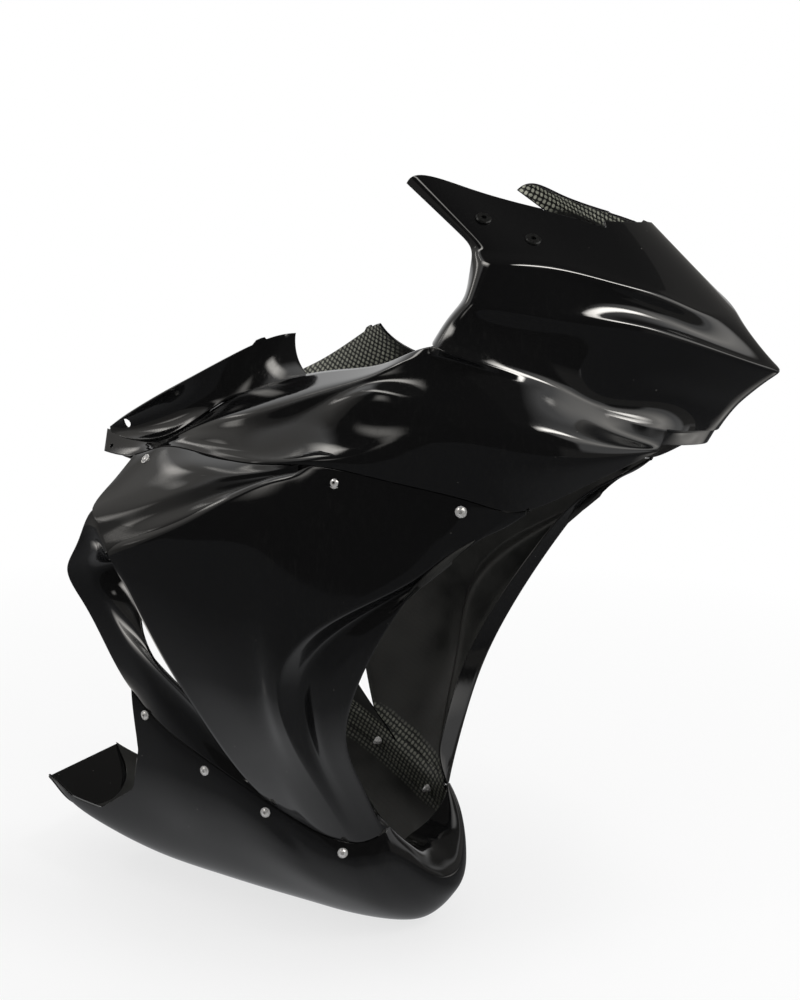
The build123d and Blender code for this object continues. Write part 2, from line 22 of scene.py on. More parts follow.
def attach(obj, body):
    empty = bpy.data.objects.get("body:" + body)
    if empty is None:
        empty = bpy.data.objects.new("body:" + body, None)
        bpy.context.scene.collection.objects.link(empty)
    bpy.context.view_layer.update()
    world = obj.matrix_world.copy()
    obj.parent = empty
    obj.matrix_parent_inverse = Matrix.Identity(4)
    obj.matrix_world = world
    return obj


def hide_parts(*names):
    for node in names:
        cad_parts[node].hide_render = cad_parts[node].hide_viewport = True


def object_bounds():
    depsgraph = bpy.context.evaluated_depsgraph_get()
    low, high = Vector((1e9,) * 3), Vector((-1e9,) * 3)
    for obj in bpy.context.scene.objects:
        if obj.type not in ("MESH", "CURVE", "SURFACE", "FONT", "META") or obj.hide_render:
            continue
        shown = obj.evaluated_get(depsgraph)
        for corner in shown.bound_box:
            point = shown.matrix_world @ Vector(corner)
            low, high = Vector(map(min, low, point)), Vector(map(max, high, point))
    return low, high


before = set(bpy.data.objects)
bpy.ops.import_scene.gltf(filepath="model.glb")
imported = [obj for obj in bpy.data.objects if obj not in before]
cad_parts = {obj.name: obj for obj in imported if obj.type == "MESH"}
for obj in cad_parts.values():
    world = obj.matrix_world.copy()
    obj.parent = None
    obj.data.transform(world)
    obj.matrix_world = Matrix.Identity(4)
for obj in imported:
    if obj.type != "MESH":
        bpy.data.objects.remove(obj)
cad_box = [list(corner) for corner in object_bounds()]
print("nodes:", len(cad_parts))

# %% [markdown]
# ## Sizes that the panels share
# A hand-laid panel is about 3 mm thick, and its trimmed rim is sanded a little round. All tables are in
# millimetres, and a length becomes metres only when a mesh is made. The grid's step says how fine the skins
# are. It is small enough for clean reflections, and large enough to keep each piece below 200,000 triangles.

# %% Shared sizes
MM = 0.001
WALL = 3.0
RIM_RADIUS = 0.7
GRID = 3.3
TINY = 1e-9
print("wall", WALL, "mm, grid step", GRID, "mm")

# %% [markdown]
# ## Small helpers
# Three helpers come back all the time. One gives directions a length of one. One measures how far each point
# of a grid lies from an edge. The third is a soft step, the curve that Map Range calls Smoothstep: a change
# that fades in by it leaves no line in the gloss.

# %% Directions, distances and soft steps


def unit(vectors):
    """Vectors of length one."""
    return vectors / np.maximum(np.linalg.norm(vectors, axis=-1, keepdims=True), TINY)


def distance(grid, places):
    """How far each point of a grid lies from its place in a row or column."""
    return np.linalg.norm(grid - places, axis=2)


def smooth(low, high, value):
    """A soft step from 0 below low to 1 above high."""
    t = np.clip((np.asarray(value, float) - low) / (high - low), 0, 1)
    return t * t * (3 - 2 * t)


print("a quarter of the way along a soft step:", smooth(0, 8, 2))

# %% [markdown]
# ## Curves through points
# No cube, lathe or extrusion starts a sculpted panel. Its maker shapes a clay buck and can read points along
# lines on it, so here a row of points becomes a cubic curve that goes through all of them. A Bezier curve
# object with automatic handles comes close, but each row would run at its own pace. Here one set of
# parameters serves all rows of a panel, so neighbouring rows stay in step, and numpy solves for all tangents
# at once.

# %% Curves


def mean_lengths(rows):
    """The mean distance from each point of the rows to the next."""
    return np.linalg.norm(np.diff(np.asarray(rows, float), axis=1), axis=2).mean(axis=0)


def spacing(rows):
    """One set of curve parameters for all rows, spaced as the points are on average."""
    lengths = mean_lengths(rows)
    return np.concatenate([[0.0], np.cumsum(lengths)]) / lengths.sum()


def places_between(knots, lengths):
    """Places along a curve, the knots among them, about a grid step apart."""
    found = [knots[:1]]
    for a, b, length in zip(knots, knots[1:], lengths):
        count = max(2, int(round(length / GRID)))
        found.append(a + (b - a) * np.arange(1, count + 1) / count)
    return np.concatenate(found)


def within(places, first, last):
    """Which places along a curve lie from one knot to another."""
    return (places >= first - TINY) & (places <= last + TINY)


def spline(points, knots, at):
    """A cubic curve through points at their knots, read at other places. A point may be a row of points."""
    points = np.asarray(points, float)
    knots = np.asarray(knots, float)
    at = np.asarray(at, float)
    count = len(points)
    steps = np.diff(knots)
    wide = (slice(None),) + (None,) * (points.ndim - 1)
    slopes = np.diff(points, axis=0) / steps[wide]
    if count == 2:
        return points[0] + (at - knots[0])[wide] * slopes[0]
    matrix = np.zeros((count, count))
    right = np.zeros_like(points)
    for i in range(1, count - 1):
        matrix[i, i - 1:i + 2] = steps[i], 2 * (steps[i - 1] + steps[i]), steps[i - 1]
        right[i] = 3 * (steps[i] * slopes[i - 1] + steps[i - 1] * slopes[i])
    matrix[0, 0] = matrix[-1, -1] = 1
    right[0] = ((2 * steps[0] + steps[1]) * slopes[0] - steps[0] * slopes[1]) / (steps[0] + steps[1])
    right[-1] = ((2 * steps[-1] + steps[-2]) * slopes[-1] - steps[-1] * slopes[-2]) / (steps[-1] + steps[-2])
    tangents = np.linalg.solve(matrix, right.reshape(count, -1)).reshape(points.shape)
    k = np.clip(np.searchsorted(knots, at, side="right") - 1, 0, count - 2)
    t = ((at - knots[k]) / steps[k])[wide]
    h = steps[k][wide]
    return ((2 * t**3 - 3 * t**2 + 1) * points[k] + (t**3 - 2 * t**2 + t) * h * tangents[k]
            + (3 * t**2 - 2 * t**3) * points[k + 1] + (t**3 - t**2) * h * tangents[k + 1])


arch = spline([(0, 0), (1, 1), (2, 0)], [0.0, 0.5, 1.0], [0.25])
print("a quarter of the way along a test arch:", arch[0])

# %% [markdown]
# ## Sheets through rows
# Rows of points become a sheet, as a sail is drawn over battens. Where the mould has a crease the sheet ends
# one band and starts the next, and the crease row is then averaged with the rows beside it. A real mould's
# edges are never quite sharp either, and it is the small round that catches a line of light. A Subdivision
# Surface with edge creases would be the other way, but it shrinks away from its points, and the panels would
# no longer meet at their seams.

# %% Sheets
CREASE_REACH = 3


def turned(grid):
    """The grid with its rows and columns swapped."""
    return grid.transpose(1, 0, 2)


def mirror(grid):
    """The grid on the other side, with its points in the other order so that it still faces out."""
    return (grid * (1, -1, 1))[:, ::-1]


def same(grid):
    """The grid as it is, for the left side."""
    return grid


def grid_normals(grid):
    """Outward unit normals of a grid."""
    return unit(np.cross(np.gradient(grid, axis=0), np.gradient(grid, axis=1)))


def round_crease(grid, row, passes):
    """The grid with one crease row blended into the rows beside it."""
    low, high = max(row - CREASE_REACH, 1), min(row + CREASE_REACH, len(grid) - 2)
    for _ in range(passes):
        mean = (grid[low - 1:high] + 2 * grid[low:high + 1] + grid[low + 1:high + 2]) / 4
        grid = grid.copy()
        grid[low:high + 1] = mean
    return grid


def sheet(rows, creases=(), along=None, rounding=3):
    """A grid of points on the surface through the rows, with its creases rounded."""
    rows = np.asarray(rows, float)
    knots = spacing(rows)
    if along is None:
        along = places_between(knots, mean_lengths(rows))
    bands = []
    crease_rows = []
    cuts = [0, *creases, len(rows) - 1]
    for first, last in zip(cuts, cuts[1:]):
        band = rows[first:last + 1]
        steps = spacing(turned(band))
        part = spline(band, steps, places_between(steps, mean_lengths(turned(band))))
        bands.append(part if not bands else part[1:])
        crease_rows.append(sum(len(b) for b in bands) - 1)
    full = np.concatenate(bands)
    grid = turned(spline(turned(full), knots, along))
    for row in crease_rows[:-1]:
        grid = round_crease(grid, row, rounding)
    return grid


def ruled(first, last, steps):
    """A sheet of straight lines between two rows."""
    return np.stack([first + (last - first) * k / steps for k in range(steps + 1)])


print("a flat test sheet:", sheet([[(0, 0, 0), (0, 30, 0)], [(20, 0, 0), (20, 30, 0)]]).shape)

# %% [markdown]
# ## Small changes to a sheet
# Panels are trimmed to meet their neighbours, their edges are rolled, and small tabs stand on them. Each of
# these moves only the points near an edge, by an amount that fades out over a stated distance. In the editor
# that would be proportional editing. Written as a function, it is repeatable and works alike on both sides.

# %% Fit, roll and raise an edge
MEET_REACH = 40
TAB_ROW = 4


def nearest_on(points, line):
    """The nearest places to some points on a line of points."""
    starts, ways = line[:-1], np.diff(line, axis=0)
    found = []
    for point in points:
        share = np.clip(((point - starts) * ways).sum(axis=1) / (ways**2).sum(axis=1), 0, 1)
        places = starts + ways * share[:, None]
        found.append(places[np.linalg.norm(places - point, axis=1).argmin()])
    return np.array(found)


def meet(grid, line, lift, strength=1.0):
    """The grid with its last row laid along a line of points, a change that fades out over a distance."""
    edge = grid[-1]
    move = (nearest_on(edge, line) + lift - edge) * np.broadcast_to(strength, len(edge))[:, None]
    fade = np.clip(1 - distance(grid, edge) / MEET_REACH, 0, 1) ** 2
    return grid + move * fade[:, :, None]


def roll_edge(grid, width, depth, strength=1.0):
    """The grid with its first row rolled inward, over a width."""
    push = depth * np.clip(1 - distance(grid, grid[0]) / width, 0, 1) ** 2
    push = push * np.broadcast_to(strength, grid.shape[1])
    return grid - grid_normals(grid) * push[:, :, None]


def raise_tab(grid, share, height):
    """Pulls a share of the first row on along the surface, as a tab."""
    way = unit(grid[0] - grid[TAB_ROW])
    grid[0] = grid[0] + way * height * share[:, None]


print("edges meet over", MEET_REACH, "mm")

# %% [markdown]
# ## From sheets to open skins
# Sheets that belong to one moulding are welded into one open skin. Each starts as Blender's own grid with as
# many vertices as the sheet has points, and the vertices are then moved to these points. An attribute called
# bare goes along on each vertex. It says how much of the cloth shows inside, because a maker blackens most of
# the inside and leaves the rest as it came from the mould.

# %% Skins
WELD = 0.02


def open_skin(grids, bare=0.0):
    """A mesh of the grids, welded where they share points, with how bare its cloth is at each vertex."""
    skin = bmesh.new()
    bareness = skin.verts.layers.float.new("bare")
    values = bare if isinstance(bare, list) else [bare] * len(grids)
    for grid, value in zip(grids, values):
        rows, columns = grid.shape[:2]
        made = bmesh.ops.create_grid(skin, x_segments=rows - 1, y_segments=columns - 1, size=1)["verts"]
        shares = np.broadcast_to(value, (rows, columns)).T.ravel()
        for vert, point, share in zip(made, turned(grid).reshape(-1, 3), shares):
            vert.co = point * MM
            vert[bareness] = share
    bmesh.ops.remove_doubles(skin, verts=skin.verts, dist=WELD * MM)
    return skin


print("points closer than", WELD, "mm are welded")

# %% [markdown]
# ## Openings
# Holes and notches are sawn and drilled after moulding. A Boolean modifier needs closed bodies and leaves
# long thin faces that show in the gloss. Here the open skin is cut along each line of an outline with
# bisect_plane, only close to that line, and what lies inside the outline is deleted. The skin around it keeps
# its even grid.

# %% Cut an open skin
BISECT_SLACK = 0.0002


def inside(point, outline):
    """Whether a point in a plane lies inside a closed outline."""
    found = False
    for (u0, v0), (u1, v1) in zip(outline, outline[1:] + outline[:1]):
        if (v0 > point[1]) != (v1 > point[1]) and point[0] < u0 + (point[1] - v0) * (u1 - u0) / (v1 - v0):
            found = not found
    return found


def cut_skin(skin, outline, first=(1, 0, 0), second=(0, 0, 1), centre=None, reach=None):
    """Cuts an open skin along an outline seen along a direction, and takes away what lies inside it."""
    first, second = Vector(first), Vector(second)
    outline = [(u * MM, v * MM) for u, v in outline]
    margin = 2 * GRID * MM

    def seen(face):
        middle = face.calc_center_median()
        return middle.dot(first), middle.dot(second)

    def reached(face):
        return centre is None or (face.calc_center_median() / MM - Vector(centre)).length < reach

    for (u0, v0), (u1, v1) in zip(outline, outline[1:] + outline[:1]):
        low = (min(u0, u1) - margin, min(v0, v1) - margin)
        high = (max(u0, u1) + margin, max(v0, v1) + margin)
        near = []
        for face in skin.faces:
            u, v = seen(face)
            if low[0] < u < high[0] and low[1] < v < high[1] and reached(face):
                near.append(face)
        geometry = set(near)
        for face in near:
            geometry.update(face.edges)
            geometry.update(face.verts)
        bmesh.ops.bisect_plane(skin, geom=list(geometry), dist=BISECT_SLACK * MM,
                               plane_co=first * u0 + second * v0,
                               plane_no=first * (v1 - v0) + second * (u0 - u1))
    gone = [face for face in skin.faces if reached(face) and inside(seen(face), outline)]
    bmesh.ops.delete(skin, geom=gone, context="FACES")
    return skin


def circle(centre, radius, count=28):
    """A round outline."""
    turns = np.arange(count) * 2 * math.pi / count
    return [(centre[0] + radius * math.cos(t), centre[1] + radius * math.sin(t)) for t in turns]


def rounded_outline(corners, radius, steps=5):
    """A closed outline with each corner rounded by an arc."""
    corners = np.array(corners, float)
    points = []
    for before, corner, after in zip(np.roll(corners, 1, 0), corners, np.roll(corners, -1, 0)):
        to_before, to_after = unit(before - corner), unit(after - corner)
        half = math.acos(np.clip(np.dot(to_before, to_after), -1, 1)) / 2
        back = radius / math.tan(half)
        middle = corner + unit(to_before + to_after) * radius / math.sin(half)
        start, finish = corner + to_before * back - middle, corner + to_after * back - middle
        for k in range(steps + 1):
            points.append(tuple(middle + unit(start * (1 - k / steps) + finish * k / steps) * radius))
    return points


print("outline of a test hole:", len(circle((0, 0), 5)), "points")

# %% [markdown]
# ## Thickness
# The skin gets its inside and its rim. Solidify would make the wall, but its rim has sharp edges, and a bevel
# after it would be held back by the short edges that the cuts leave. So the rim is laid here as a narrow
# strip with a rounded profile, from the outside to the inside. The inside takes the second material of the
# piece, which is the cloth.

# %% Thicken


def thicken(skin, wall=WALL, radius=RIM_RADIUS):
    """Gives an open skin its inside and a rim with rounded edges."""
    skin.normal_update()
    bareness = skin.verts.layers.float["bare"]
    outer_faces = list(skin.faces)
    outer_verts = list(skin.verts)
    place = {v: v.co.copy() for v in outer_verts}
    normal = {v: v.normal.copy() for v in outer_verts}
    outward = {}
    rim = []
    for edge in skin.edges:
        if edge.is_boundary:
            loop = edge.link_loops[0]
            a, b = loop.vert, loop.link_loop_next.vert
            side = (b.co - a.co).normalized().cross(loop.face.normal)
            rim.append((a, b))
            for v in (a, b):
                outward[v] = outward.get(v, Vector()) + side
    outward = {v: side.normalized() for v, side in outward.items()}
    inner = {}
    chain = {}
    corner = 1 - math.sqrt(0.5)
    profile = ((corner, corner), (1, 0), (wall / radius - 1, 0), (wall / radius - corner, corner))
    for v in outer_verts:
        pull = outward[v] * radius * MM if v in outward else Vector()
        inner[v] = skin.verts.new(place[v] - normal[v] * wall * MM - pull)
        inner[v][bareness] = v[bareness]
        if v in outward:
            middle = [skin.verts.new(place[v] - (normal[v] * depth + outward[v] * back) * radius * MM)
                      for depth, back in profile]
            chain[v] = [v, *middle, inner[v]]
            v.co = place[v] - pull
    for face in outer_faces:
        twin = skin.faces.new([inner[v] for v in reversed(face.verts)])
        twin.material_index = 1
    for a, b in rim:
        for k in range(len(profile) + 1):
            skin.faces.new((chain[b][k], chain[a][k], chain[a][k + 1], chain[b][k + 1]))
    return skin


print("rim radius", RIM_RADIUS, "mm")

# %% [markdown]
# ## From skins to one piece
# Skins that are one moulding become one object. All faces are smooth, and a Weighted Normal modifier lets the
# large faces decide the shading, so the narrow rim doesn't pull the reflections round. A point that a
# rounding pushed past the box of the solids is brought back to it.

# %% Join skins
SHADING_WEIGHT = 100


def piece_from(name, skins):
    """One smooth-shaded object from several closed skins."""
    mesh = bpy.data.meshes.new(name)
    joined = bmesh.new()
    for skin in skins:
        part = bpy.data.meshes.new("part")
        skin.to_mesh(part)
        joined.from_mesh(part)
        skin.free()
        bpy.data.meshes.remove(part)
    for face in joined.faces:
        face.smooth = True
    for vert in joined.verts:
        vert.co = [min(max(value, low), high) for value, low, high in zip(vert.co, *cad_box)]
    joined.to_mesh(mesh)
    joined.free()
    piece = bpy.data.objects.new(name, mesh)
    bpy.context.scene.collection.objects.link(piece)
    piece.modifiers.new("even_shading", "WEIGHTED_NORMAL").weight = SHADING_WEIGHT
    print(name, "faces:", len(mesh.polygons))
    return piece


print("shading weight", SHADING_WEIGHT)

# %% [markdown]
# ## Laps
# At each seam the upper panel carries a flange. It is moulded on, steps in by a little more than a wall's
# thickness, and lies behind the edge of the panel below, where the screws go through both. It could be
# extruded from the edge, but then it would miss the other panel's curve. So it is a sheet of four rows, two
# that follow its own panel and two that follow the other one.

# %% Flanges
LAP_DEPTH = 3.8
LAP_BEND = 1.0
FLANGE_DEPTH = 26.0
FLANGE_ROOT = 14.0
FLANGE_STEP = 4.0
FLANGE_SINK = 0.3 * WALL
INWARD_ROW = 5


def edge_of(points, normals):
    """The first row of a grid, the way into the panel from there, and the normals."""
    return points[0], unit(points[INWARD_ROW] - points[0]), normals[0]


def lap(own, other, count):
    """A flange from one panel's edge to behind the edge of the next."""
    picks = np.linspace(0, len(own[0]) - 1, count).round().astype(int)
    points, inward, face = (part[picks] for part in own)
    match = [np.linalg.norm(other[0] - point, axis=1).argmin() for point in points]
    beyond, fall, beyond_face = (part[match] for part in other)
    return sheet([points + inward * FLANGE_ROOT - face * FLANGE_SINK,
                  points + inward * FLANGE_STEP - face * (LAP_DEPTH + LAP_BEND),
                  beyond - beyond_face * LAP_DEPTH,
                  beyond + fall * FLANGE_DEPTH - beyond_face * LAP_DEPTH], (1, 2), rounding=2)


print("flanges reach", FLANGE_DEPTH, "mm behind the next panel")

# %% [markdown]
# ## The nose
# The nose carries the screen, splits the air at its point and folds under into a short lip. Each row runs
# across it, from the screen's edge at the top over the shoulder and the brow down to the lower edge. A point
# is (x, half width, z) on the outside of the left half, and the row is continued over the centre plane to the
# right. One sheet over the full width keeps the reflections whole at the middle, where a Mirror modifier
# would leave a seam.

# %% Nose rows
SCREEN_EDGE = [(584, 0, 231), (577, 40, 231), (552, 74, 234), (500, 100, 246), (440, 123, 264),
               (385, 144, 275), (378, 141, 269)]
SHOULDER_VALLEY = [(675, 0, 142), (665, 44, 145), (633, 84, 163), (589, 114, 180), (532, 146, 197),
                   (476, 170, 203), (463, 162, 206)]
SHOULDER_RIDGE = [(680, 0, 137), (671, 46, 139), (640, 90, 156), (597, 122, 172), (539, 155, 189),
                  (480, 179, 195), (465, 169, 198)]
BROW = [(731, 0, 82), (714, 30, 91), (671, 78, 112), (622, 120, 130), (554, 158, 139),
        (468, 189, 154), (460, 172, 156)]
LAMP_FACE = [(697, 0, 55), (684, 30, 60), (648, 79, 75), (603, 121, 88), (544, 161, 108),
             (448, 191, 132), (440, 173, 135)]
NOSE_HOLLOW = [(676, 0, 31), (664, 30, 33), (639, 79, 41), (591, 124, 53), (541, 169, 82),
               (441, 200, 114), (431, 181, 117)]
NOSE_EDGE = [(668, 0, 19), (660, 32, 21), (642, 86, 28), (592, 128, 47), (541, 172, 78),
             (440, 202, 111), (430, 183, 114)]
NOSE_LIP = [(659, 0, 3), (651, 31, 5), (634, 79, 13)]


def whole(half_row):
    """A row given from the centre to the left, continued over the centre plane to the right."""
    return [(x, -y, z) for x, y, z in reversed(half_row[1:])] + list(half_row)


print("points from tip to tip of the nose:", len(whole(BROW)))

# %% [markdown]
# Above the brow the real surface dips in a little before it turns, which doubles the line of light there. The
# dip is one more row, pushed in from the straight line between ridge and brow. Towards the cockpit the
# creases run out, so the edge there is averaged until it is calm.

# %% Nose sheet
BROW_BAND = 8.0
BROW_HOLLOW = [0.5, 2.4, 4.2, 3.4, 0.6, 0.0, 0.0]
ROUGHLY_OUT = (1, 0.3, 0.3)
NOSE_CREASES = (1, 2, 4)
NOSE_FINENESS = 0.8
CALM_PASSES = 20
CALM_BAND = (4, 30)

ridge, brow = np.array(SHOULDER_RIDGE, float), np.array(BROW, float)
way_up, way_back = unit(ridge - brow), np.gradient(brow, axis=0)
inward = -unit(np.cross(way_back, way_up))
inward *= np.where(inward @ ROUGHLY_OUT > 0, -1, 1)[:, None]
hollow = brow + way_up * BROW_BAND + inward * np.array(BROW_HOLLOW)[:, None]
nose_rows = [whole(row) for row in (SCREEN_EDGE, SHOULDER_VALLEY, SHOULDER_RIDGE, [tuple(p) for p in hollow],
                                    BROW, LAMP_FACE, NOSE_HOLLOW, NOSE_EDGE)]
nose_knots = spacing(nose_rows)
nose_lengths = np.maximum(mean_lengths([nose_rows[-1]]), mean_lengths(nose_rows) * NOSE_FINENESS)
nose_along = places_between(nose_knots, nose_lengths)
nose = sheet(nose_rows, NOSE_CREASES, along=nose_along, rounding=2)
calm = nose.copy()
for _ in range(CALM_PASSES):
    calm[1:-1] = (calm[:-2] + 2 * calm[1:-1] + calm[2:]) / 4
edge_gap = np.minimum(distance(nose, nose[:, :1]), distance(nose, nose[:, -1:]))
nose = nose + (calm - nose) * (1 - smooth(*CALM_BAND, edge_gap))[:, :, None]
print("nose", nose.shape)

# %% [markdown]
# A small tab in the middle of the screen's edge locates the screen. Below the nose a joggled lip, set in by
# nearly a wall's thickness, fills the gap between the points of the two cheeks.

# %% Screen tab and lip
SCREEN_TAB = (3.5, 5.5)
SCREEN_TAB_HEIGHT = 3.0
LIP_STEP = 2.6
LIP_ROOT_ROW = -4

raise_tab(nose, 1 - smooth(*SCREEN_TAB, np.abs(nose[0][:, 1])), SCREEN_TAB_HEIGHT)
centre = len(SCREEN_EDGE) - 1
cheek_start, cheek_end = centre + len(NOSE_LIP) - 1, centre + 5
lip_knots = nose_knots[centre - len(NOSE_LIP) + 1:cheek_start + 1]
lip_span = within(nose_along, lip_knots[0], lip_knots[-1])
lip_edge = spline(np.array(whole(NOSE_LIP), float), lip_knots, nose_along[lip_span])
step_in = grid_normals(nose)[:, lip_span] * LIP_STEP
lip = sheet([nose[LIP_ROOT_ROW][lip_span] - step_in[LIP_ROOT_ROW], nose[-1][lip_span] - step_in[-1],
             lip_edge - step_in[-1]], (1,), rounding=1)
print("lip", lip.shape)

# %% [markdown]
# ## Cheeks and arms
# On each side a cheek is moulded on to the nose's lower edge. It swells over the fork, hollows like a spoon
# behind that, and runs on as an arm to the rear, where a stay holds it. The rows run from front to rear,
# because the long lines of light do, and a surface is smoothest along its rows.

# %% Cheek rows
COWL_EDGE = [(378, 186, 91), (293, 152, 77), (189, 138, 52), (108, 134, 15)]
CHEEK_CREST = [(639, 96, 13), (594, 139, 33), (544, 179, 69), (431, 204, 99), (378, 207, 82),
               (315, 200, 63), (215, 188, 33), (118, 160, 6)]
CHEEK_VALLEY = [(638.5, 97.3, 11.5), (597, 146, 28), (547, 188, 56), (444, 210, 79), (378, 208, 73),
                (316, 201, 52), (216, 190, 22), (118, 163, 1)]
CHEEK_RIDGE = [(638, 98.4, 10.2), (602, 154, 22), (552, 197, 42), (450, 219, 58), (383, 217, 67),
               (319, 206, 43), (219, 195, 10), (118, 166, -3)]
SPOON_TOP = [(637.7, 99.3, 9.1), (604, 158, 15), (555, 203, 27), (449, 225, 34), (388, 221, 24),
             (329, 220, 12), (254, 214, -8), (119, 169, -7)]
SPOON_LOW = [(637.4, 100.2, 8.1), (606, 162, 7), (557, 206, 6), (444, 229, 22), (389, 232, 8),
             (333, 233, -3), (243, 216, -13), (120, 172, -11)]
UPPER_SEAM = [(637, 101, 7), (596, 150, -16), (542, 186, -44), (477, 214, -35), (405, 227, -22),
              (334, 232, -12), (231, 214, -18), (120, 176, -15)]
TAIL_TOP = [(110, 134, 15), (61, 133, -7), (11, 126, -10), (-35, 119, -9)]
TAIL_LOW = [(120, 176, -15), (75, 162, -18), (27, 150, -32), (-27, 136, -33)]
print("points from the nose to the arm's end:", len(UPPER_SEAM) + len(TAIL_LOW) - 1)

# %% [markdown]
# The rows of the cheek are carried on along the arm's tail, each at its own share of the tail's height. The
# first row is the nose's own edge. So its columns are set where the nose has them, and it is laid exactly on
# that edge, a change that fades out within a few millimetres. The weld then finds equal points. Behind the
# cockpit's corner the arm goes its own way.

# %% Cheek sheet
CHEEK_CREASES = (1, 4, 5)
CHEEK_BLEND = 14
COCKPIT_CORNER = 3

cheek_rows = [NOSE_EDGE[2:6] + COWL_EDGE, CHEEK_CREST, CHEEK_VALLEY, CHEEK_RIDGE, SPOON_TOP, SPOON_LOW,
              UPPER_SEAM]
ends = np.array([row[-1] for row in cheek_rows], float)
shares = np.linalg.norm(ends - ends[0], axis=1) / np.linalg.norm(ends[-1] - ends[0])
tail_top, tail_low = np.array(TAIL_TOP, float), np.array(TAIL_LOW, float)
cheek_rows = [np.concatenate([np.array(row, float), tail_top[1:] + (tail_low - tail_top)[1:] * share])
              for row, share in zip(cheek_rows, shares)]
cheek_knots = spacing(cheek_rows)
cheek_along = places_between(cheek_knots, mean_lengths(cheek_rows))
shared = within(nose_along, nose_knots[cheek_start], nose_knots[cheek_end])
matched = np.interp(nose_along[shared], nose_knots[cheek_start:cheek_end + 1], cheek_knots[:COCKPIT_CORNER + 1])
cheek_along = np.concatenate([matched, cheek_along[cheek_along > cheek_knots[COCKPIT_CORNER] + TINY]])
cheek = sheet(cheek_rows, CHEEK_CREASES, along=cheek_along, rounding=2)
shift = np.zeros_like(cheek[0])
shift[:len(matched)] = nose[-1][shared] - cheek[0][:len(matched)]
fade = np.clip(1 - distance(cheek, cheek[0]) / CHEEK_BLEND, 0, 1)
cheek = cheek + shift * fade[:, :, None]
cheek[0][:len(matched)] = nose[-1][shared]
print("cheek", cheek.shape)

# %% [markdown]
# The arm's inner edge is turned down beside the tank, which stiffens it, and a thin flap stands up behind
# that edge to close the gap to the tank. Both are simple: the return is ruled between two rows, and the flap
# is a sheet of three.

# %% Return and flap
COWL_RETURN_END = 7
RETURN_STEPS = 4
FLAP_TAB_REAR = (180, 182)
FLAP_TAB_FRONT = (191, 193)
FLAP_TAB_HEIGHT = 4.0
COWL_RETURN = [(430, 192, 106), (368, 176, 84), (285, 142, 70), (186, 128, 45), (106, 124, 9)]
FLAP_TOP = [(218, 98, 111), (186, 126, 101), (106, 150, 58), (47, 143, 30), (-30, 120, -6)]
FLAP_MIDDLE = [(230, 117, 90), (181, 131, 74), (120, 141, 45), (58, 132, 14), (-28, 122, -10)]
FLAP_ROOT = [(260, 143, 70), (189, 138, 50), (135, 142, 28), (83, 147, -3), (-22, 124, -16)]

return_knots = cheek_knots[COCKPIT_CORNER:COWL_RETURN_END + 1]
return_span = within(cheek_along, return_knots[0], return_knots[-1])
return_edge = spline(np.array(COWL_RETURN, float), return_knots, cheek_along[return_span])
cowl_return = ruled(return_edge, cheek[0][return_span], RETURN_STEPS)
flap = sheet([FLAP_TOP, FLAP_MIDDLE, FLAP_ROOT])
flap_top_x = flap[0][:, 0]
raise_tab(flap, smooth(*FLAP_TAB_REAR, flap_top_x) * (1 - smooth(*FLAP_TAB_FRONT, flap_top_x)), FLAP_TAB_HEIGHT)
print("return", cowl_return.shape, "flap", flap.shape)

# %% [markdown]
# ## The belly pan
# The pan is a deep tub. Its ribs run from the left seam round the keel to the right seam, close together at
# the bow where the form turns quickly. It could be a box with a subdivided surface, but the seam has to be an
# exact line that the side panels can meet.

# %% Belly ribs
BELLY_RIBS = [
    [(-231, 78, -440), (-217, 77, -459), (-202, 74, -480),
     (-186, 68, -501), (-166, 54, -529), (-154, 0, -545)],
    [(-110, 115, -258), (-108, 118, -330), (-105, 110, -410),
     (-100, 96, -492), (-92, 74, -542), (-86, 0, -560)],
    [(-2, 131, -326), (2, 133, -354), (5, 130, -420),
     (6, 116, -490), (8, 84, -556), (10, 0, -572)],
    [(60, 140, -366), (65, 142, -394), (72, 138, -445),
     (78, 120, -505), (85, 82, -564), (90, 0, -580)],
    [(125, 144, -394), (130, 145, -422), (138, 139, -465),
     (144, 118, -518), (150, 77, -571), (155, 0, -586)],
    [(190, 141, -424), (195, 142, -452), (202, 135, -490),
     (208, 110, -535), (216, 68, -579), (222, 0, -593)],
    [(235, 131, -449), (240, 132, -477), (248, 124, -512),
     (255, 98, -550), (262, 58, -586), (268, 0, -600)],
    [(262, 123, -462), (268, 124, -488), (277, 115, -519),
     (286, 90, -554), (294, 50, -588), (298, 0, -603)],
    [(280, 115, -468), (289, 116, -492), (299, 106, -520),
     (309, 82, -554), (318, 44, -586), (322, 0, -601)],
    [(292, 108, -471), (302, 108, -493), (314, 97, -519),
     (325, 74, -551), (335, 40, -580), (339, 0, -594)],
    [(300, 103, -471), (312, 102, -491), (325, 91, -515),
     (338, 68, -545), (349, 36, -570), (354, 0, -581)],
    [(310, 96, -468), (322, 95, -486), (336, 83, -508),
     (351, 61, -534), (363, 32, -555), (368, 0, -563)],
    [(321, 87, -461), (333, 84, -478), (347, 72, -498),
     (361, 52, -521), (372, 27, -537), (376, 0, -542)],
    [(323, 80, -457), (333, 73, -471), (344, 60, -486),
     (354, 42, -502), (361, 21, -511), (363, 0, -514)],
    [(322, 77, -456), (325, 67, -467), (323, 53, -479),
     (318, 36, -490), (313, 18, -496), (310, 0, -498)],
]
print("ribs:", len(BELLY_RIBS))

# %% [markdown]
# A soft crease runs down each side of the pan towards the bow. It crosses the ribs at a slant, so it can't be
# one of the sheet's own creases. It is pressed into the finished sheet instead: each point moves inwards by
# an amount that falls off with its distance from the crease's line, as a thumb would press it into clay.

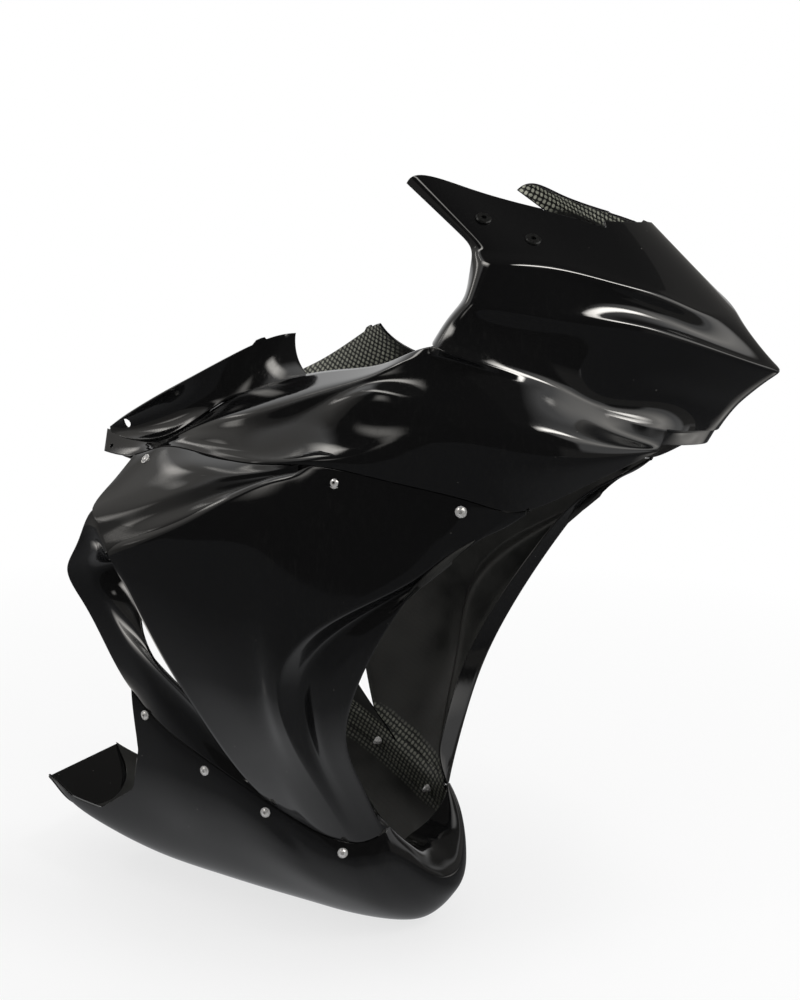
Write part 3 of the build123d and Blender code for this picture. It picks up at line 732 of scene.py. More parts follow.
# %% Belly sheet
GROOVE_STEPS = 60
GROOVE_FADE_IN = (0, 0.25)
GROOVE_FADE_OUT = (0.8, 1)
BELLY_CREASE_DEPTH = 2.2
BELLY_CREASE_WIDTH = 9.0
BELLY_CREASE = [(197, 139, -436), (221, 130, -467), (261, 108, -509), (294, 84, -532),
                (319, 56, -551)]


def press_groove(grid, line, depth, width):
    """The grid with a soft groove along a line of points, on both sides of the centre plane."""
    line = np.array(line, float)
    along = np.linspace(0, 1, GROOVE_STEPS)
    strength = smooth(*GROOVE_FADE_IN, along) * (1 - smooth(*GROOVE_FADE_OUT, along))
    either = grid * (1, 0, 1) + np.abs(grid) * (0, 1, 0)
    nearest = np.full(grid.shape[:2], np.inf)
    amount = np.zeros(grid.shape[:2])
    for point, share in zip(spline(line, spacing([line]), along), strength):
        gap = distance(either, point)
        closer = gap < nearest
        nearest[closer] = gap[closer]
        amount[closer] = share
    push = depth * amount * np.exp(-(nearest / width) ** 2)
    return grid - grid_normals(grid) * push[:, :, None]


belly = sheet([rib + [(x, -y, z) for x, y, z in reversed(rib[:-1])] for rib in BELLY_RIBS])
belly = press_groove(belly, BELLY_CREASE, BELLY_CREASE_DEPTH, BELLY_CREASE_WIDTH)
print("belly", belly.shape)

# %% [markdown]
# The tail's rim is sawn along a line that dips between the side panels' feet and the end, and a slanted wall
# closes the end below it. The wall is ruled from a straight top edge down to the first rib.

# %% Tail
TAIL_CUT_RADIUS = 20.0
END_WALL_INSET = 1.0
END_WALL_STEPS = 8
TAIL_CUT = [(-280, -489), (-195, -489), (-150, -508), (-88, -506), (-14, -458), (5, -400),
            (-4, -320), (-4, -250), (-280, -250)]

wall_top = TAIL_CUT[1][1] - END_WALL_INSET
end_rib = belly[0][belly[0][:, 2] < wall_top] + (END_WALL_INSET, 0, 0)
end_top = np.linspace(end_rib[0], end_rib[-1], len(end_rib))
end_wall = ruled(end_top, end_rib, END_WALL_STEPS)[:, ::-1]
print("end wall", end_wall.shape)

# %% [markdown]
# ## The side panels
# A side panel's flank runs from its rear edge to the rolled leading edge, with a closed vent as a recess near
# the front. Its columns go downwards and end on the belly's seam. The vent's edge, floor and vane are
# creases, and the others are smooth. It is all one sheet, because separate pieces for the recess would break
# the reflections.

# %% Flank
REAR_EDGE = [(43, 226, -126), (55, 226, -148), (77, 221, -195), (105, 208, -257), (135, 189, -319),
             (167, 162, -387)]
FLANK_REAR = [(155, 236, -78), (169, 239, -107), (192, 237, -166), (203, 227, -234),
              (213, 206, -300), (225, 169, -382)]
FLANK_MIDDLE = [(314, 231, -16), (288, 240, -60), (268, 244, -123), (252, 237, -202),
                (247, 217, -286), (251, 168, -388)]
FLANK_FRONT = [(405, 227, -24), (368, 235, -79), (310, 244, -142), (267, 239, -216),
               (259, 219, -294), (267, 167, -388)]
VENT_EDGE = [(477, 214, -37), (450, 220, -101), (353, 240, -164), (282, 240, -233),
             (275, 218, -304), (281, 163, -389)]
VENT_FLOOR = [(497, 208, -45), (459, 213, -100), (364, 217, -168), (294, 211, -240),
              (284, 193, -309), (288, 150, -391)]
VANE = [(520, 199, -51), (467, 211, -98), (386, 220, -171), (321, 213, -254), (302, 191, -319),
        (300, 143, -395)]
LEADING_EDGE = [(542, 186, -53), (474, 210, -88), (413, 221, -154), (363, 211, -236),
                (331, 187, -309), (321, 136, -386)]
LEADING_LIP = [(528, 168, -59), (457, 190, -97), (394, 199, -163), (342, 188, -242),
               (310, 164, -313), (303, 118, -381), (306, 75, -446)]
SEAM_GAP = 1.8
FIRST_FLANK_RIB, LAST_FLANK_RIB = 5, 12
FLANK_CREASES = (4, 5, 6, 7)

seam_feet = [(rib[0][0], rib[0][1], rib[0][2] + SEAM_GAP) for rib in BELLY_RIBS]
flank_columns = [REAR_EDGE, FLANK_REAR, FLANK_MIDDLE, FLANK_FRONT, VENT_EDGE, VENT_FLOOR, VANE, LEADING_EDGE]
flank_feet = seam_feet[FIRST_FLANK_RIB:LAST_FLANK_RIB + 1]
flank_columns = [column + [foot] for column, foot in zip(flank_columns, flank_feet)] + [LEADING_LIP]
flank = sheet(flank_columns, FLANK_CREASES, rounding=1)
print("flank", flank.shape)

# %% [markdown]
# Above the flank's crease a scoop leads air to the rear. It starts in a point under the upper's seam and
# opens backwards, and its root goes on under the flank's top edge, where both are bonded.

# %% Scoop
SCOOP_TOP = [(300, 229, -19), (231, 214, -23), (148, 187, -21), (77, 165, -22), (29, 153, -36)]
SCOOP_MIDDLE = [(300, 229, -20), (219, 218, -28), (146, 203, -31), (71, 185, -45), (13, 173, -62)]
SCOOP_SHOULDER = [(300, 229, -22), (210, 221, -33), (145, 212, -44), (73, 203, -65), (2, 196, -90)]
SCOOP_RIDGE = [(300, 229, -24), (205, 222, -38), (146, 219, -54), (85, 214, -77), (18, 208, -103)]
SCOOP_GROOVE = [(300, 229, -26), (240, 228, -41), (175, 227, -63), (104, 222, -88), (28, 214, -116)]
SCOOP_ROOT = [(300, 229, -30), (302, 229, -42)]
SCOOP_CREASES = (3, 4, 5)
ROOT_NEAR = (1, -WALL / 2, -4)
ROOT_FAR = (4, -WALL / 2, -FLANGE_ROOT)

crease_points = np.array([column[0] for column in flank_columns[:5]], float)
crease_knots = spacing([crease_points])
crease = spline(crease_points, crease_knots, crease_knots[2] * (1 - np.arange(1, 5) / 4))
scoop_rows = [SCOOP_TOP, SCOOP_MIDDLE, SCOOP_SHOULDER, SCOOP_RIDGE, SCOOP_GROOVE,
              SCOOP_ROOT[:1] + [tuple(point + ROOT_NEAR) for point in crease],
              SCOOP_ROOT[1:] + [tuple(point + ROOT_FAR) for point in crease]]
scoop = sheet(scoop_rows, SCOOP_CREASES, rounding=2)
print("scoop", scoop.shape)

# %% [markdown]
# Behind the flank's rear edge a narrower strip is set back, so that warm air can leave through the gap
# between the two. It starts inside the wall of the scoop and ends on the belly's seam. Its pocket is pulled
# in, which gives the strip its bright and dark bands.

# %% Set-back strip
STRIP_REAR = [(-29, 186, -132), (-58, 174, -171), (-45, 162, -216), (-21, 146, -280)]
STRIP_FOLD = [(-5, 190, -135), (-23, 172, -166), (-10, 160, -215), (20, 150, -278)]
STRIP_POCKET = [(13, 190, -140), (2, 148, -164), (26, 172, -220), (64, 150, -295)]
STRIP_INNER = [(30, 194, -144), (24, 150, -170), (62, 186, -238), (108, 162, -312)]
STRIP_SCOOP_ROWS = (2, 3, 4, 5)
FIRST_STRIP_RIB = 2


def mid_wall(rows):
    """Rows of points moved to the middle of the wall."""
    rows = np.array(rows, float)
    return rows - grid_normals(rows) * WALL / 2


scoop_middle = mid_wall(scoop_rows)
strip_feet = [*seam_feet[FIRST_STRIP_RIB:FIRST_FLANK_RIB], tuple(mid_wall(flank_columns)[1][-1])]
strip_columns = []
for row, column, foot in zip(STRIP_SCOOP_ROWS, (STRIP_REAR, STRIP_FOLD, STRIP_POCKET, STRIP_INNER), strip_feet):
    rim, ahead = scoop_middle[row][-1], scoop_middle[row][-2]
    strip_columns.append([tuple(rim + unit(ahead - rim) * FLANGE_ROOT), tuple(rim), *column, foot])
strip = sheet(strip_columns, (1,))
print("strip", strip.shape)

# %% [markdown]
# ## Fit the panels to each other
# A fitter trims the panels until the seams are even, lines less than a millimetre wide. The tables alone
# leave gaps of a few millimetres between curves that share only some points. So the scoop and the flank are
# drawn up to the cheek's lower edge, and the flank and the strip down to the belly's rim. The flank's crease
# is then rounded over, and its rear edge is rolled in.

# %% Fit the edges
SEAM_DROP = (0, 0, -0.6)
SEAM_RISE = (0, 0, 0.5)
UNDER_CHEEK_REAR = (300, 318)
UNDER_CHEEK_FRONT = (545, 556)
FOOT_FADE = 6
CREASE_ROLL_END = (290, 312)
CREASE_ROLL_WIDTH, CREASE_ROLL_DEPTH = 13, -6.0
REAR_ROLL_START = (140, 180)
REAR_ROLL_WIDTH, REAR_ROLL_DEPTH = 9, 4.0

scoop = meet(scoop[::-1], cheek[-1], SEAM_DROP)[::-1]
top_x = flank[:, 0, 0]
under_cheek = smooth(*UNDER_CHEEK_REAR, top_x) * (1 - smooth(*UNDER_CHEEK_FRONT, top_x))
flank = turned(meet(turned(flank)[::-1], cheek[-1], SEAM_DROP, under_cheek)[::-1])
rim_line = belly[:, 0]
last_foot_x = seam_feet[LAST_FLANK_RIB][0]
on_belly = 1 - smooth(last_foot_x - FOOT_FADE, last_foot_x, flank[:, -1, 0])
flank = turned(meet(turned(flank), rim_line, SEAM_RISE, on_belly))
strip = turned(meet(turned(strip), rim_line, SEAM_RISE))
crease_roll = 1 - smooth(*CREASE_ROLL_END, flank[:, 0, 0])
flank = turned(roll_edge(turned(flank), CREASE_ROLL_WIDTH, CREASE_ROLL_DEPTH, crease_roll))
flank = roll_edge(flank, REAR_ROLL_WIDTH, REAR_ROLL_DEPTH, smooth(*REAR_ROLL_START, -flank[0, :, 2]))
print("flank's top edge from x", flank[:, 0, 0].min().round(1), "to", flank[:, 0, 0].max().round(1))

# %% [markdown]
# ## Flanges of the seams
# The upper's flange lies behind the flank's top edge and, further back, behind the scoop's. The side panel's
# flange lies behind the belly's rim and runs from the strip's foot on to the flank's. Each is led past the
# joint of the two edges it follows.

# %% Seam flanges
UPPER_LAP_SHORT = 26
UPPER_LAP_COLUMNS = 44
SCOOP_POINT_GAP = 8
BELLY_LAP_COLUMNS = 32
STRIP_END_GAP = 8
FLANK_END_GAP = 4

flank_normals = turned(grid_normals(flank))
cheek_edge = edge_of(cheek[::-1], grid_normals(cheek)[::-1])
seam = cheek_edge[0][:, 0] < UPPER_SEAM[2][0] - UPPER_LAP_SHORT
cheek_edge = [part[seam] for part in cheek_edge]
flank_top = edge_of(turned(flank), flank_normals)
ahead = flank_top[0][:, 0] > SCOOP_TOP[0][0] + SCOOP_POINT_GAP
below = [np.concatenate([top[ahead][::-1], rear])
         for top, rear in zip(flank_top, edge_of(scoop, grid_normals(scoop)))]
upper_lap = lap(cheek_edge, below, UPPER_LAP_COLUMNS)

belly_rim = edge_of(turned(belly), turned(grid_normals(belly)))
flank_end = edge_of(turned(flank)[::-1], flank_normals[::-1])
strip_end = edge_of(turned(strip)[::-1], turned(grid_normals(strip))[::-1])
behind = strip_end[0][:, 0] < flank_end[0][0, 0] - STRIP_END_GAP
ahead = flank_end[0][:, 0] < last_foot_x - FLANK_END_GAP
feet = [np.concatenate([rear[behind], front[ahead]])[::-1] for rear, front in zip(strip_end, flank_end)]
belly_lap = lap(feet, belly_rim, BELLY_LAP_COLUMNS)
print("upper flange", upper_lap.shape, "belly flange", belly_lap.shape)

# %% [markdown]
# ## Build the upper
# Nose, cheeks and returns are welded into one skin. A notch beside the screen and a pilot hole in each arm's
# end are cut in it, and the stay's hole in each flap. The cloth shows inside the screen's shoulders, inside
# the flaps and on the flanges.

# %% Upper
SCREEN_NOTCH = [(510, 98, 243), (567, 69, 222), (561, 64, 233), (550, 58, 250), (500, 85, 262)]
SCREEN_FACE = (0.4536, 0.4527, 0.7677)
NOTCH_RADIUS, NOTCH_REACH = 2.5, 95
TAIL_PILOT = (-17, 132, -27)
PILOT_RADIUS, PILOT_REACH, PILOT_POINTS = 2.0, 12, 16
STAY_HOLE_RADIUS = 5.0
TIP_BARE, TIP_DEPTH, TIP_SIDE = 1.5, (38, 60), (60, 90)
FLAP_BARE_END = (205, 250)
UPPER_LAP_BARE = 0.6

tip = 1 - smooth(*TIP_DEPTH, distance(nose, nose[0]))
tip = TIP_BARE * tip * smooth(*TIP_SIDE, np.abs(nose[:, :, 1]))
nose_skin = open_skin([nose, cheek, cowl_return, mirror(cheek), mirror(cowl_return)], [tip, 0.0, 0.0, 0.0, 0.0])
edge_way = unit(np.array(SCREEN_EDGE[3], float) - SCREEN_EDGE[2])
down_way = unit(np.cross(edge_way, SCREEN_FACE))
for side in (np.array((1, 1, 1)), np.array((1, -1, 1))):
    first, second = edge_way * side, down_way * side
    corners = [np.array(point, float) * side for point in SCREEN_NOTCH]
    outline = [(float(point @ first), float(point @ second)) for point in corners]
    cut_skin(nose_skin, rounded_outline(outline, NOTCH_RADIUS), first, second, tuple(corners[1]), NOTCH_REACH)
    pilot = np.array(TAIL_PILOT, float) * side
    hole = circle((pilot[0], pilot[2]), PILOT_RADIUS, PILOT_POINTS)
    cut_skin(nose_skin, hole, centre=tuple(pilot), reach=PILOT_REACH)
upper_skins = [thicken(nose_skin), thicken(open_skin([lip]))]
flap_bare = 1 - smooth(*FLAP_BARE_END, flap[:, :, 0])
for side in (same, mirror):
    flap_skin = open_skin([side(flap)], flap_bare if side is same else flap_bare[:, ::-1])
    upper_skins.append(thicken(cut_skin(flap_skin, circle((0, 0), STAY_HOLE_RADIUS))))
    upper_skins.append(thicken(open_skin([side(upper_lap)], UPPER_LAP_BARE)))
upper_piece = piece_from("upper_shell", upper_skins)

# %% [markdown]
# ## Build the side panels
# Left and right are mirror images. Flank, scoop, strip and flange overlap inside the wall, as layers of cloth
# do where a maker bonds them, so each is thickened by itself and then joined. The cloth shows in a band above
# the lower seam.

# %% Side panels
FOOT_BAND = (26, 46)
FLANK_BARE, SCOOP_BARE, BELLY_LAP_BARE = 0.7, 0.1, 0.7

flank_bare = FLANK_BARE * (1 - smooth(*FOOT_BAND, distance(flank, flank[:, -1:])))
strip_bare = 1 - smooth(*FOOT_BAND, distance(strip, strip[:, -1:]))
side_pieces = {}
for name, side in (("left", same), ("right", mirror)):
    ways = slice(None, None, 1 if side is same else -1)
    skins = [open_skin([side(flank)], flank_bare[:, ways]), open_skin([side(scoop)], SCOOP_BARE),
             open_skin([side(strip)], strip_bare[:, ways]), open_skin([side(belly_lap)], BELLY_LAP_BARE)]
    side_pieces[name] = piece_from(f"{name}_side_shell", [thicken(skin) for skin in skins])

# %% [markdown]
# ## Build the belly pan
# The pan shows its cloth in a band below the rim, and its floor is black. Each of the four pieces then stands
# for its solid, and the solid itself is hidden.

# %% Belly pan
RIM_BARE, RIM_BAND = 0.6, (44, 56)

rim_gap = np.minimum(distance(belly, belly[:, :1]), distance(belly, belly[:, -1:]))
belly_skin = open_skin([belly], RIM_BARE * (1 - smooth(*RIM_BAND, rim_gap)))
cut_skin(belly_skin, rounded_outline(TAIL_CUT, TAIL_CUT_RADIUS))
belly_piece = piece_from("belly_shell", [thicken(belly_skin), thicken(open_skin([end_wall]))])

for piece, node in ((upper_piece, "upper_fairing"), (side_pieces["left"], "left_side_panel"),
                    (side_pieces["right"], "right_side_panel"), (belly_piece, "belly_pan")):
    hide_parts(node)
    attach(piece, "root")

# %% [markdown]
# ## Materials
# All finishes are shader nodes on Object coordinates, which every piece shares, so a pattern runs on over the
# seams without any unwrapping. A few helpers keep the node trees short enough to read: each makes one node,
# sets its inputs and gives back its output.

# %% Node helpers


def material(name, colour, roughness, metallic=0.0):
    """A principled material, its tree and its shader node."""
    made = bpy.data.materials.new(name)
    made.use_nodes = True
    shader = made.node_tree.nodes["Principled BSDF"]
    shader.inputs["Base Color"].default_value = (*colour, 1)
    shader.inputs["Roughness"].default_value = roughness
    shader.inputs["Metallic"].default_value = metallic
    return made, made.node_tree, shader


def node(tree, kind, values=None, **settings):
    """A new node with some settings and input values, where a value may be another node's output."""
    made = tree.nodes.new(kind)
    for key, value in settings.items():
        setattr(made, key, value)
    for key, value in (values or {}).items():
        if isinstance(value, bpy.types.NodeSocket):
            tree.links.new(value, made.inputs[key])
        else:
            made.inputs[key].default_value = value
    return made


def math_node(tree, operation, *values):
    """The result of a calculation on numbers or outputs."""
    return node(tree, "ShaderNodeMath", dict(enumerate(values)), operation=operation).outputs[0]


def noise(tree, coordinates, scale, detail=3.0, roughness=0.5):
    """A noise value between 0 and 1."""
    made = node(tree, "ShaderNodeTexNoise", {"Vector": coordinates, "Scale": scale, "Detail": detail,
                                             "Roughness": roughness})
    return made.outputs["Fac"]


def ramp(tree, value, low, high, out_low=0.0, out_high=1.0):
    """A value moved from one range to another, kept inside it."""
    made = node(tree, "ShaderNodeMapRange", {"Value": value, "From Min": low, "From Max": high,
                                             "To Min": out_low, "To Max": out_high})
    return made.outputs["Result"]


def blend(tree, factor, first, second):
    """A colour between two others."""
    made = node(tree, "ShaderNodeMix", data_type="RGBA")
    for key, value in (("Factor", factor), ("A", first), ("B", second)):
        socket = next(s for s in made.inputs if s.name == key and (key == "Factor" or s.type == "RGBA"))
        if isinstance(value, bpy.types.NodeSocket):
            tree.links.new(value, socket)
        else:
            socket.default_value = value if key == "Factor" else (*value, 1)
    return next(s for s in made.outputs if s.type == "RGBA")


def feed(tree, shader, values):
    """Links outputs to the inputs of a shader."""
    for key, value in values.items():
        tree.links.new(value, shader.inputs[key])


def object_place(tree):
    """Where a point lies on its object."""
    return node(tree, "ShaderNodeTexCoord").outputs["Object"]


def bumped(tree, height, strength, depth, before=None):
    """A normal tilted by a height, on top of another one."""
    values = {"Strength": strength, "Distance": depth, "Height": height}
    if before:
        values["Normal"] = before
    return node(tree, "ShaderNodeBump", values).outputs["Normal"]


print("node helpers are ready")

# %% [markdown]
# ### Gelcoat
# The outside is a black gelcoat, sprayed into the polished mould before the cloth. It is nearly black and
# very glossy. A plain black gloss looks like a computer's, so its roughness varies in soft clouds, and in
# places there are fine wipe marks and a few specks of dust. A faint bump gives the slow waves of a shell laid
# by hand.

# %% Gelcoat
GELCOAT_BLACK = (0.0035, 0.0035, 0.0037)
WIPED_BLACK = (0.012, 0.0118, 0.0112)
DUST_GREY = (0.12, 0.115, 0.105)

gloss, tree, shader = material("gloss_black", GELCOAT_BLACK, 0.1)
place = object_place(tree)
haze = noise(tree, place, 7.0, 4.0, 0.6)
smear = node(tree, "ShaderNodeMapping", {"Vector": place, "Scale": (60.0, 60.0, 9.0),
                                         "Rotation": (0.3, 0.7, 0.2)}).outputs["Vector"]
wipes = noise(tree, smear, 6.0, 3.0, 0.6)
marks = math_node(tree, "MULTIPLY", ramp(tree, wipes, 0.52, 0.72), ramp(tree, haze, 0.42, 0.66))
cells = node(tree, "ShaderNodeTexVoronoi", {"Vector": place, "Scale": 55.0, "Randomness": 1.0})
specks = ramp(tree, cells.outputs["Distance"], 0.05, 0.025)
dust = math_node(tree, "MULTIPLY", specks, ramp(tree, noise(tree, place, 21.0, 2.0), 0.5, 0.62))
shade = blend(tree, math_node(tree, "MULTIPLY", marks, 0.35), GELCOAT_BLACK, WIPED_BLACK)
shade = blend(tree, math_node(tree, "MULTIPLY", dust, 0.6), shade, DUST_GREY)
rough = ramp(tree, haze, 0.35, 0.7, 0.03, 0.09)
rough = math_node(tree, "ADD", rough, math_node(tree, "MULTIPLY", marks, 0.09))
rough = math_node(tree, "ADD", rough, math_node(tree, "MULTIPLY", dust, 0.4))
waves = bumped(tree, noise(tree, place, 9.0, 2.0), 0.15, 0.0012)
relief = bumped(tree, wipes, 0.05, 0.0002, waves)
feed(tree, shader, {"Base Color": shade, "Roughness": rough, "Normal": relief})
print("gelcoat nodes:", len(tree.nodes))

# %% [markdown]
# ### Cloth
# Inside, a coarse plain weave lies in dark resin. Strands about 6 mm apart go over and under each other. Two
# sine waves, one for each direction, give the strands, and the sign of their product says which one is on
# top. A weave on a UV map would follow the sheets and turn from one to the next. On Object coordinates, seen
# from the side and turned a little, it is even over the whole inside, as one length of cloth is. The bare
# attribute decides where it shows.

# %% Weave
WEAVE_PITCH = 0.0058
WEAVE_TURN = (0.0, -0.45, 0.0)

cloth, tree, shader = material("woven_cloth", (0.05, 0.055, 0.045), 0.5)
place = object_place(tree)
laid = node(tree, "ShaderNodeMapping", {"Vector": place, "Rotation": WEAVE_TURN}).outputs["Vector"]
flat = node(tree, "ShaderNodeSeparateXYZ", {"Vector": laid}).outputs
across, along = (math_node(tree, "SINE", math_node(tree, "MULTIPLY", flat[axis], math.pi / WEAVE_PITCH))
                 for axis in ("X", "Z"))
warp, weft = math_node(tree, "ABSOLUTE", across), math_node(tree, "ABSOLUTE", along)
over = math_node(tree, "GREATER_THAN", math_node(tree, "MULTIPLY", across, along), 0.0)
warp_height = math_node(tree, "MULTIPLY", warp, ramp(tree, weft, 0.0, 1.0, 0.35, 1.0))
weft_height = math_node(tree, "MULTIPLY", weft, ramp(tree, warp, 0.0, 1.0, 0.35, 1.0))
height = node(tree, "ShaderNodeMix", {"Factor": over, "A": weft_height, "B": warp_height}).outputs["Result"]
print("strands per metre:", round(1 / WEAVE_PITCH))

# %% [markdown]
# The strands have two shades, one for each direction, with pale fibres in them. Where the inside was
# blackened, only a blotchy black is left and the weave is a faint relief. The edge of the black is broken up
# by noise, because it was brushed on.

# %% Cloth
RESIN_DARK = (0.008, 0.009, 0.008)
WARP_GREEN, WEFT_GREEN, FIBRE_PALE = (0.15, 0.16, 0.125), (0.25, 0.255, 0.205), (0.4, 0.39, 0.32)
BRUSHED_BLACK, WORN_BLACK = (0.008, 0.008, 0.0075), (0.022, 0.022, 0.019)

patches = noise(tree, place, 26.0, 3.0)
fibre = noise(tree, place, 900.0, 2.0)
bare = node(tree, "ShaderNodeAttribute", attribute_name="bare").outputs["Fac"]
shown = ramp(tree, math_node(tree, "ADD", bare, math_node(tree, "MULTIPLY", patches, 0.7)), 0.55, 0.95)
strands = blend(tree, ramp(tree, over, 0.0, 1.0, 0.2, 0.8), WARP_GREEN, WEFT_GREEN)
strands = blend(tree, ramp(tree, fibre, 0.3, 0.8, 0.0, 0.6), strands, FIBRE_PALE)
strands = node(tree, "ShaderNodeVectorMath", {0: strands, "Scale": ramp(tree, bare, 0.6, 1.5, 0.4, 1.7)},
               operation="SCALE").outputs["Vector"]
woven = blend(tree, ramp(tree, height, 0.4, 0.75), RESIN_DARK, strands)
black = blend(tree, ramp(tree, patches, 0.3, 0.75), BRUSHED_BLACK, WORN_BLACK)
raised = math_node(tree, "MULTIPLY", height, ramp(tree, shown, 0.0, 1.0, 0.06, 1.0))
relief = bumped(tree, fibre, 0.3, 0.0003, bumped(tree, raised, 0.7, 0.0009))
feed(tree, shader, {"Base Color": blend(tree, shown, black, woven),
                    "Roughness": ramp(tree, patches, 0.3, 0.7, 0.42, 0.68), "Normal": relief})
print("cloth nodes:", len(tree.nodes))

# %% [markdown]
# ### Fasteners
# The screws, washers and nuts are bright steel, the well nuts are black rubber and their inserts brass. They
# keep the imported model's own meshes, because a screw head a few pixels wide gains nothing from a new one. All
# three finishes work alike: a fine noise leads from a clean colour to a worn one and roughens it.

# %% Metals and rubber


def worn_finish(name, clean, worn, metallic, scale, patch, wear, roughness):
    """A material that goes from clean to worn in fine patches."""
    made, tree, shader = material(name, clean, roughness[0], metallic)
    tarnish = noise(tree, object_place(tree), scale, 3.0)
    feed(tree, shader, {"Base Color": blend(tree, ramp(tree, tarnish, *patch), clean, worn),
                        "Roughness": ramp(tree, tarnish, *wear, *roughness)})
    return made


steel = worn_finish("bright_steel", (0.78, 0.77, 0.76), (0.5, 0.48, 0.44), 0.6, 420.0,
                    patch=(0.45, 0.8), wear=(0.3, 0.8), roughness=(0.16, 0.38))
rubber = worn_finish("rubber", (0.003, 0.003, 0.003), (0.009, 0.009, 0.0085), 0.0, 300.0,
                     patch=(0.0, 1.0), wear=(0.3, 0.7), roughness=(0.2, 0.36))
brass = worn_finish("brass", (0.74, 0.56, 0.28), (0.5, 0.36, 0.17), 1.0, 350.0,
                    patch=(0.0, 1.0), wear=(0.3, 0.7), roughness=(0.22, 0.42))

for piece in (upper_piece, *side_pieces.values(), belly_piece):
    piece.data.materials.append(gloss)
    piece.data.materials.append(cloth)
for name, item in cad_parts.items():
    if not name.endswith(("fairing", "panel", "pan")):
        item.data.materials.clear()
        item.data.materials.append(rubber if "well_nut" in name else brass if "insert" in name else steel)
print("materials:", len(bpy.data.materials))

# %% [markdown]
# ## Camera
# The camera stands ahead of the fairing on its right, a little above it, and looks slightly down. Its three
# axes were found by matching points of the part with the picture, so they are given as a matrix. A Track To
# constraint would aim it, but couldn't keep the picture's exact frame.

# %% Camera
CAMERA_PLACE = (1.074, -1.470, 0.2206)
CAMERA_RIGHT = (0.88395, 0.46758, 0)
CAMERA_UP = (-0.08498, 0.16066, 0.98334)
CAMERA_BACK = (0.4598, -0.86923, 0.18175)

camera_data = bpy.data.cameras.new("camera")
camera_data.lens = 52.2
camera_data.sensor_width = 36
camera = bpy.data.objects.new("camera", camera_data)
rows = zip(CAMERA_RIGHT, CAMERA_UP, CAMERA_BACK, CAMERA_PLACE)
camera.matrix_world = Matrix((*rows, (0, 0, 0, 1)))
bpy.context.scene.collection.objects.link(camera)
bpy.context.scene.camera = camera
bpy.context.scene.view_settings.view_transform = "Standard"
print("lens:", camera_data.lens)

# %% [markdown]
# ## Floor and world
# The part stands in a white studio. The world is plain white where it is seen and a little dimmer where it
# only gives light, so the pale cloth doesn't burn out. The floor takes a soft shadow close to the part and
# turns white further out, so no horizon shows. Both tell the rays apart with a Light Path node.

# %% Floor and world
FLOOR_RADIUS, FLOOR_DROP = 7.0, 0.002
FLOOR_GREY = (0.88, 0.88, 0.88)
WHITE = (1, 1, 1, 1)
DISC_SEGMENTS = 96


def seen_plainly(tree):
    """1 for rays that look at a thing, straight or in gloss, and 0 for rays that only gather light."""
    paths = node(tree, "ShaderNodeLightPath").outputs
    plain = math_node(tree, "MAXIMUM", paths["Is Camera Ray"], paths["Is Glossy Ray"])
    return math_node(tree, "MAXIMUM", plain, paths["Is Transmission Ray"])


def stage_mesh(name, draft, paint):
    """A stage object from a bmesh."""
    mesh = bpy.data.meshes.new(name)
    draft.to_mesh(mesh)
    draft.free()
    made = bpy.data.objects.new(name, mesh)
    made.data.materials.append(paint)
    bpy.context.scene.collection.objects.link(made)
    return made


def disc(radius, drop):
    """A round sheet a little below the part."""
    draft = bmesh.new()
    bmesh.ops.create_circle(draft, cap_ends=True, segments=DISC_SEGMENTS, radius=radius)
    bmesh.ops.translate(draft, verts=draft.verts, vec=(0, 0, cad_box[0][2] - drop))
    return draft


def show(tree, shader):
    """Makes a shader the surface of its material."""
    tree.links.new(shader.outputs[0], tree.nodes["Material Output"].inputs["Surface"])


floor_paint, tree, shader = material("floor", FLOOR_GREY, 0.9)
away = node(tree, "ShaderNodeVectorMath", {0: object_place(tree)}, operation="LENGTH").outputs["Value"]
white = math_node(tree, "MULTIPLY", seen_plainly(tree), ramp(tree, away, 0.8, 2.0, 0.72, 1.0))
glow = node(tree, "ShaderNodeEmission", {"Color": WHITE, "Strength": 1.0})
show(tree, node(tree, "ShaderNodeMixShader", {0: white, 1: shader.outputs[0], 2: glow.outputs[0]}))
stage_mesh("floor", disc(FLOOR_RADIUS, FLOOR_DROP), floor_paint)

world = bpy.data.worlds.new("studio")
bpy.context.scene.world = world
world.use_nodes = True
tree = world.node_tree
sky = tree.nodes["Background"]
sky.inputs["Color"].default_value = WHITE
tree.links.new(ramp(tree, seen_plainly(tree), 0.0, 1.0, 0.8, 1.0), sky.inputs["Strength"])
print("floor at", round(cad_box[0][2] - FLOOR_DROP, 4), "m")

# %% [markdown]
# ## Cards for the gloss
# In a white room a glossy black thing looks grey. A photographer hangs dark cloths round it to bring the
# black back, and adds a few bright panels whose reflections draw the form. These cards do the same. They glow
# by a given brightness, fade out at their edges as a soft box does, and only reflections see them, so the
# room stays white.

# %% Card helpers
WARM_WHITE = (1, 0.97, 0.92, 1)
CARD_CORNERS = ((0, 0), (1, 0), (1, 1), (0, 1))


def glow_paint(name):
    """An empty material and its tree."""
    made = bpy.data.materials.new(name)
    made.use_nodes = True
    made.node_tree.nodes.remove(made.node_tree.nodes["Principled BSDF"])
    return made, made.node_tree


def only_in_gloss(made):
    """Hides a card from all but reflections."""
    made.visible_camera = False
    made.visible_diffuse = False
    made.visible_shadow = False


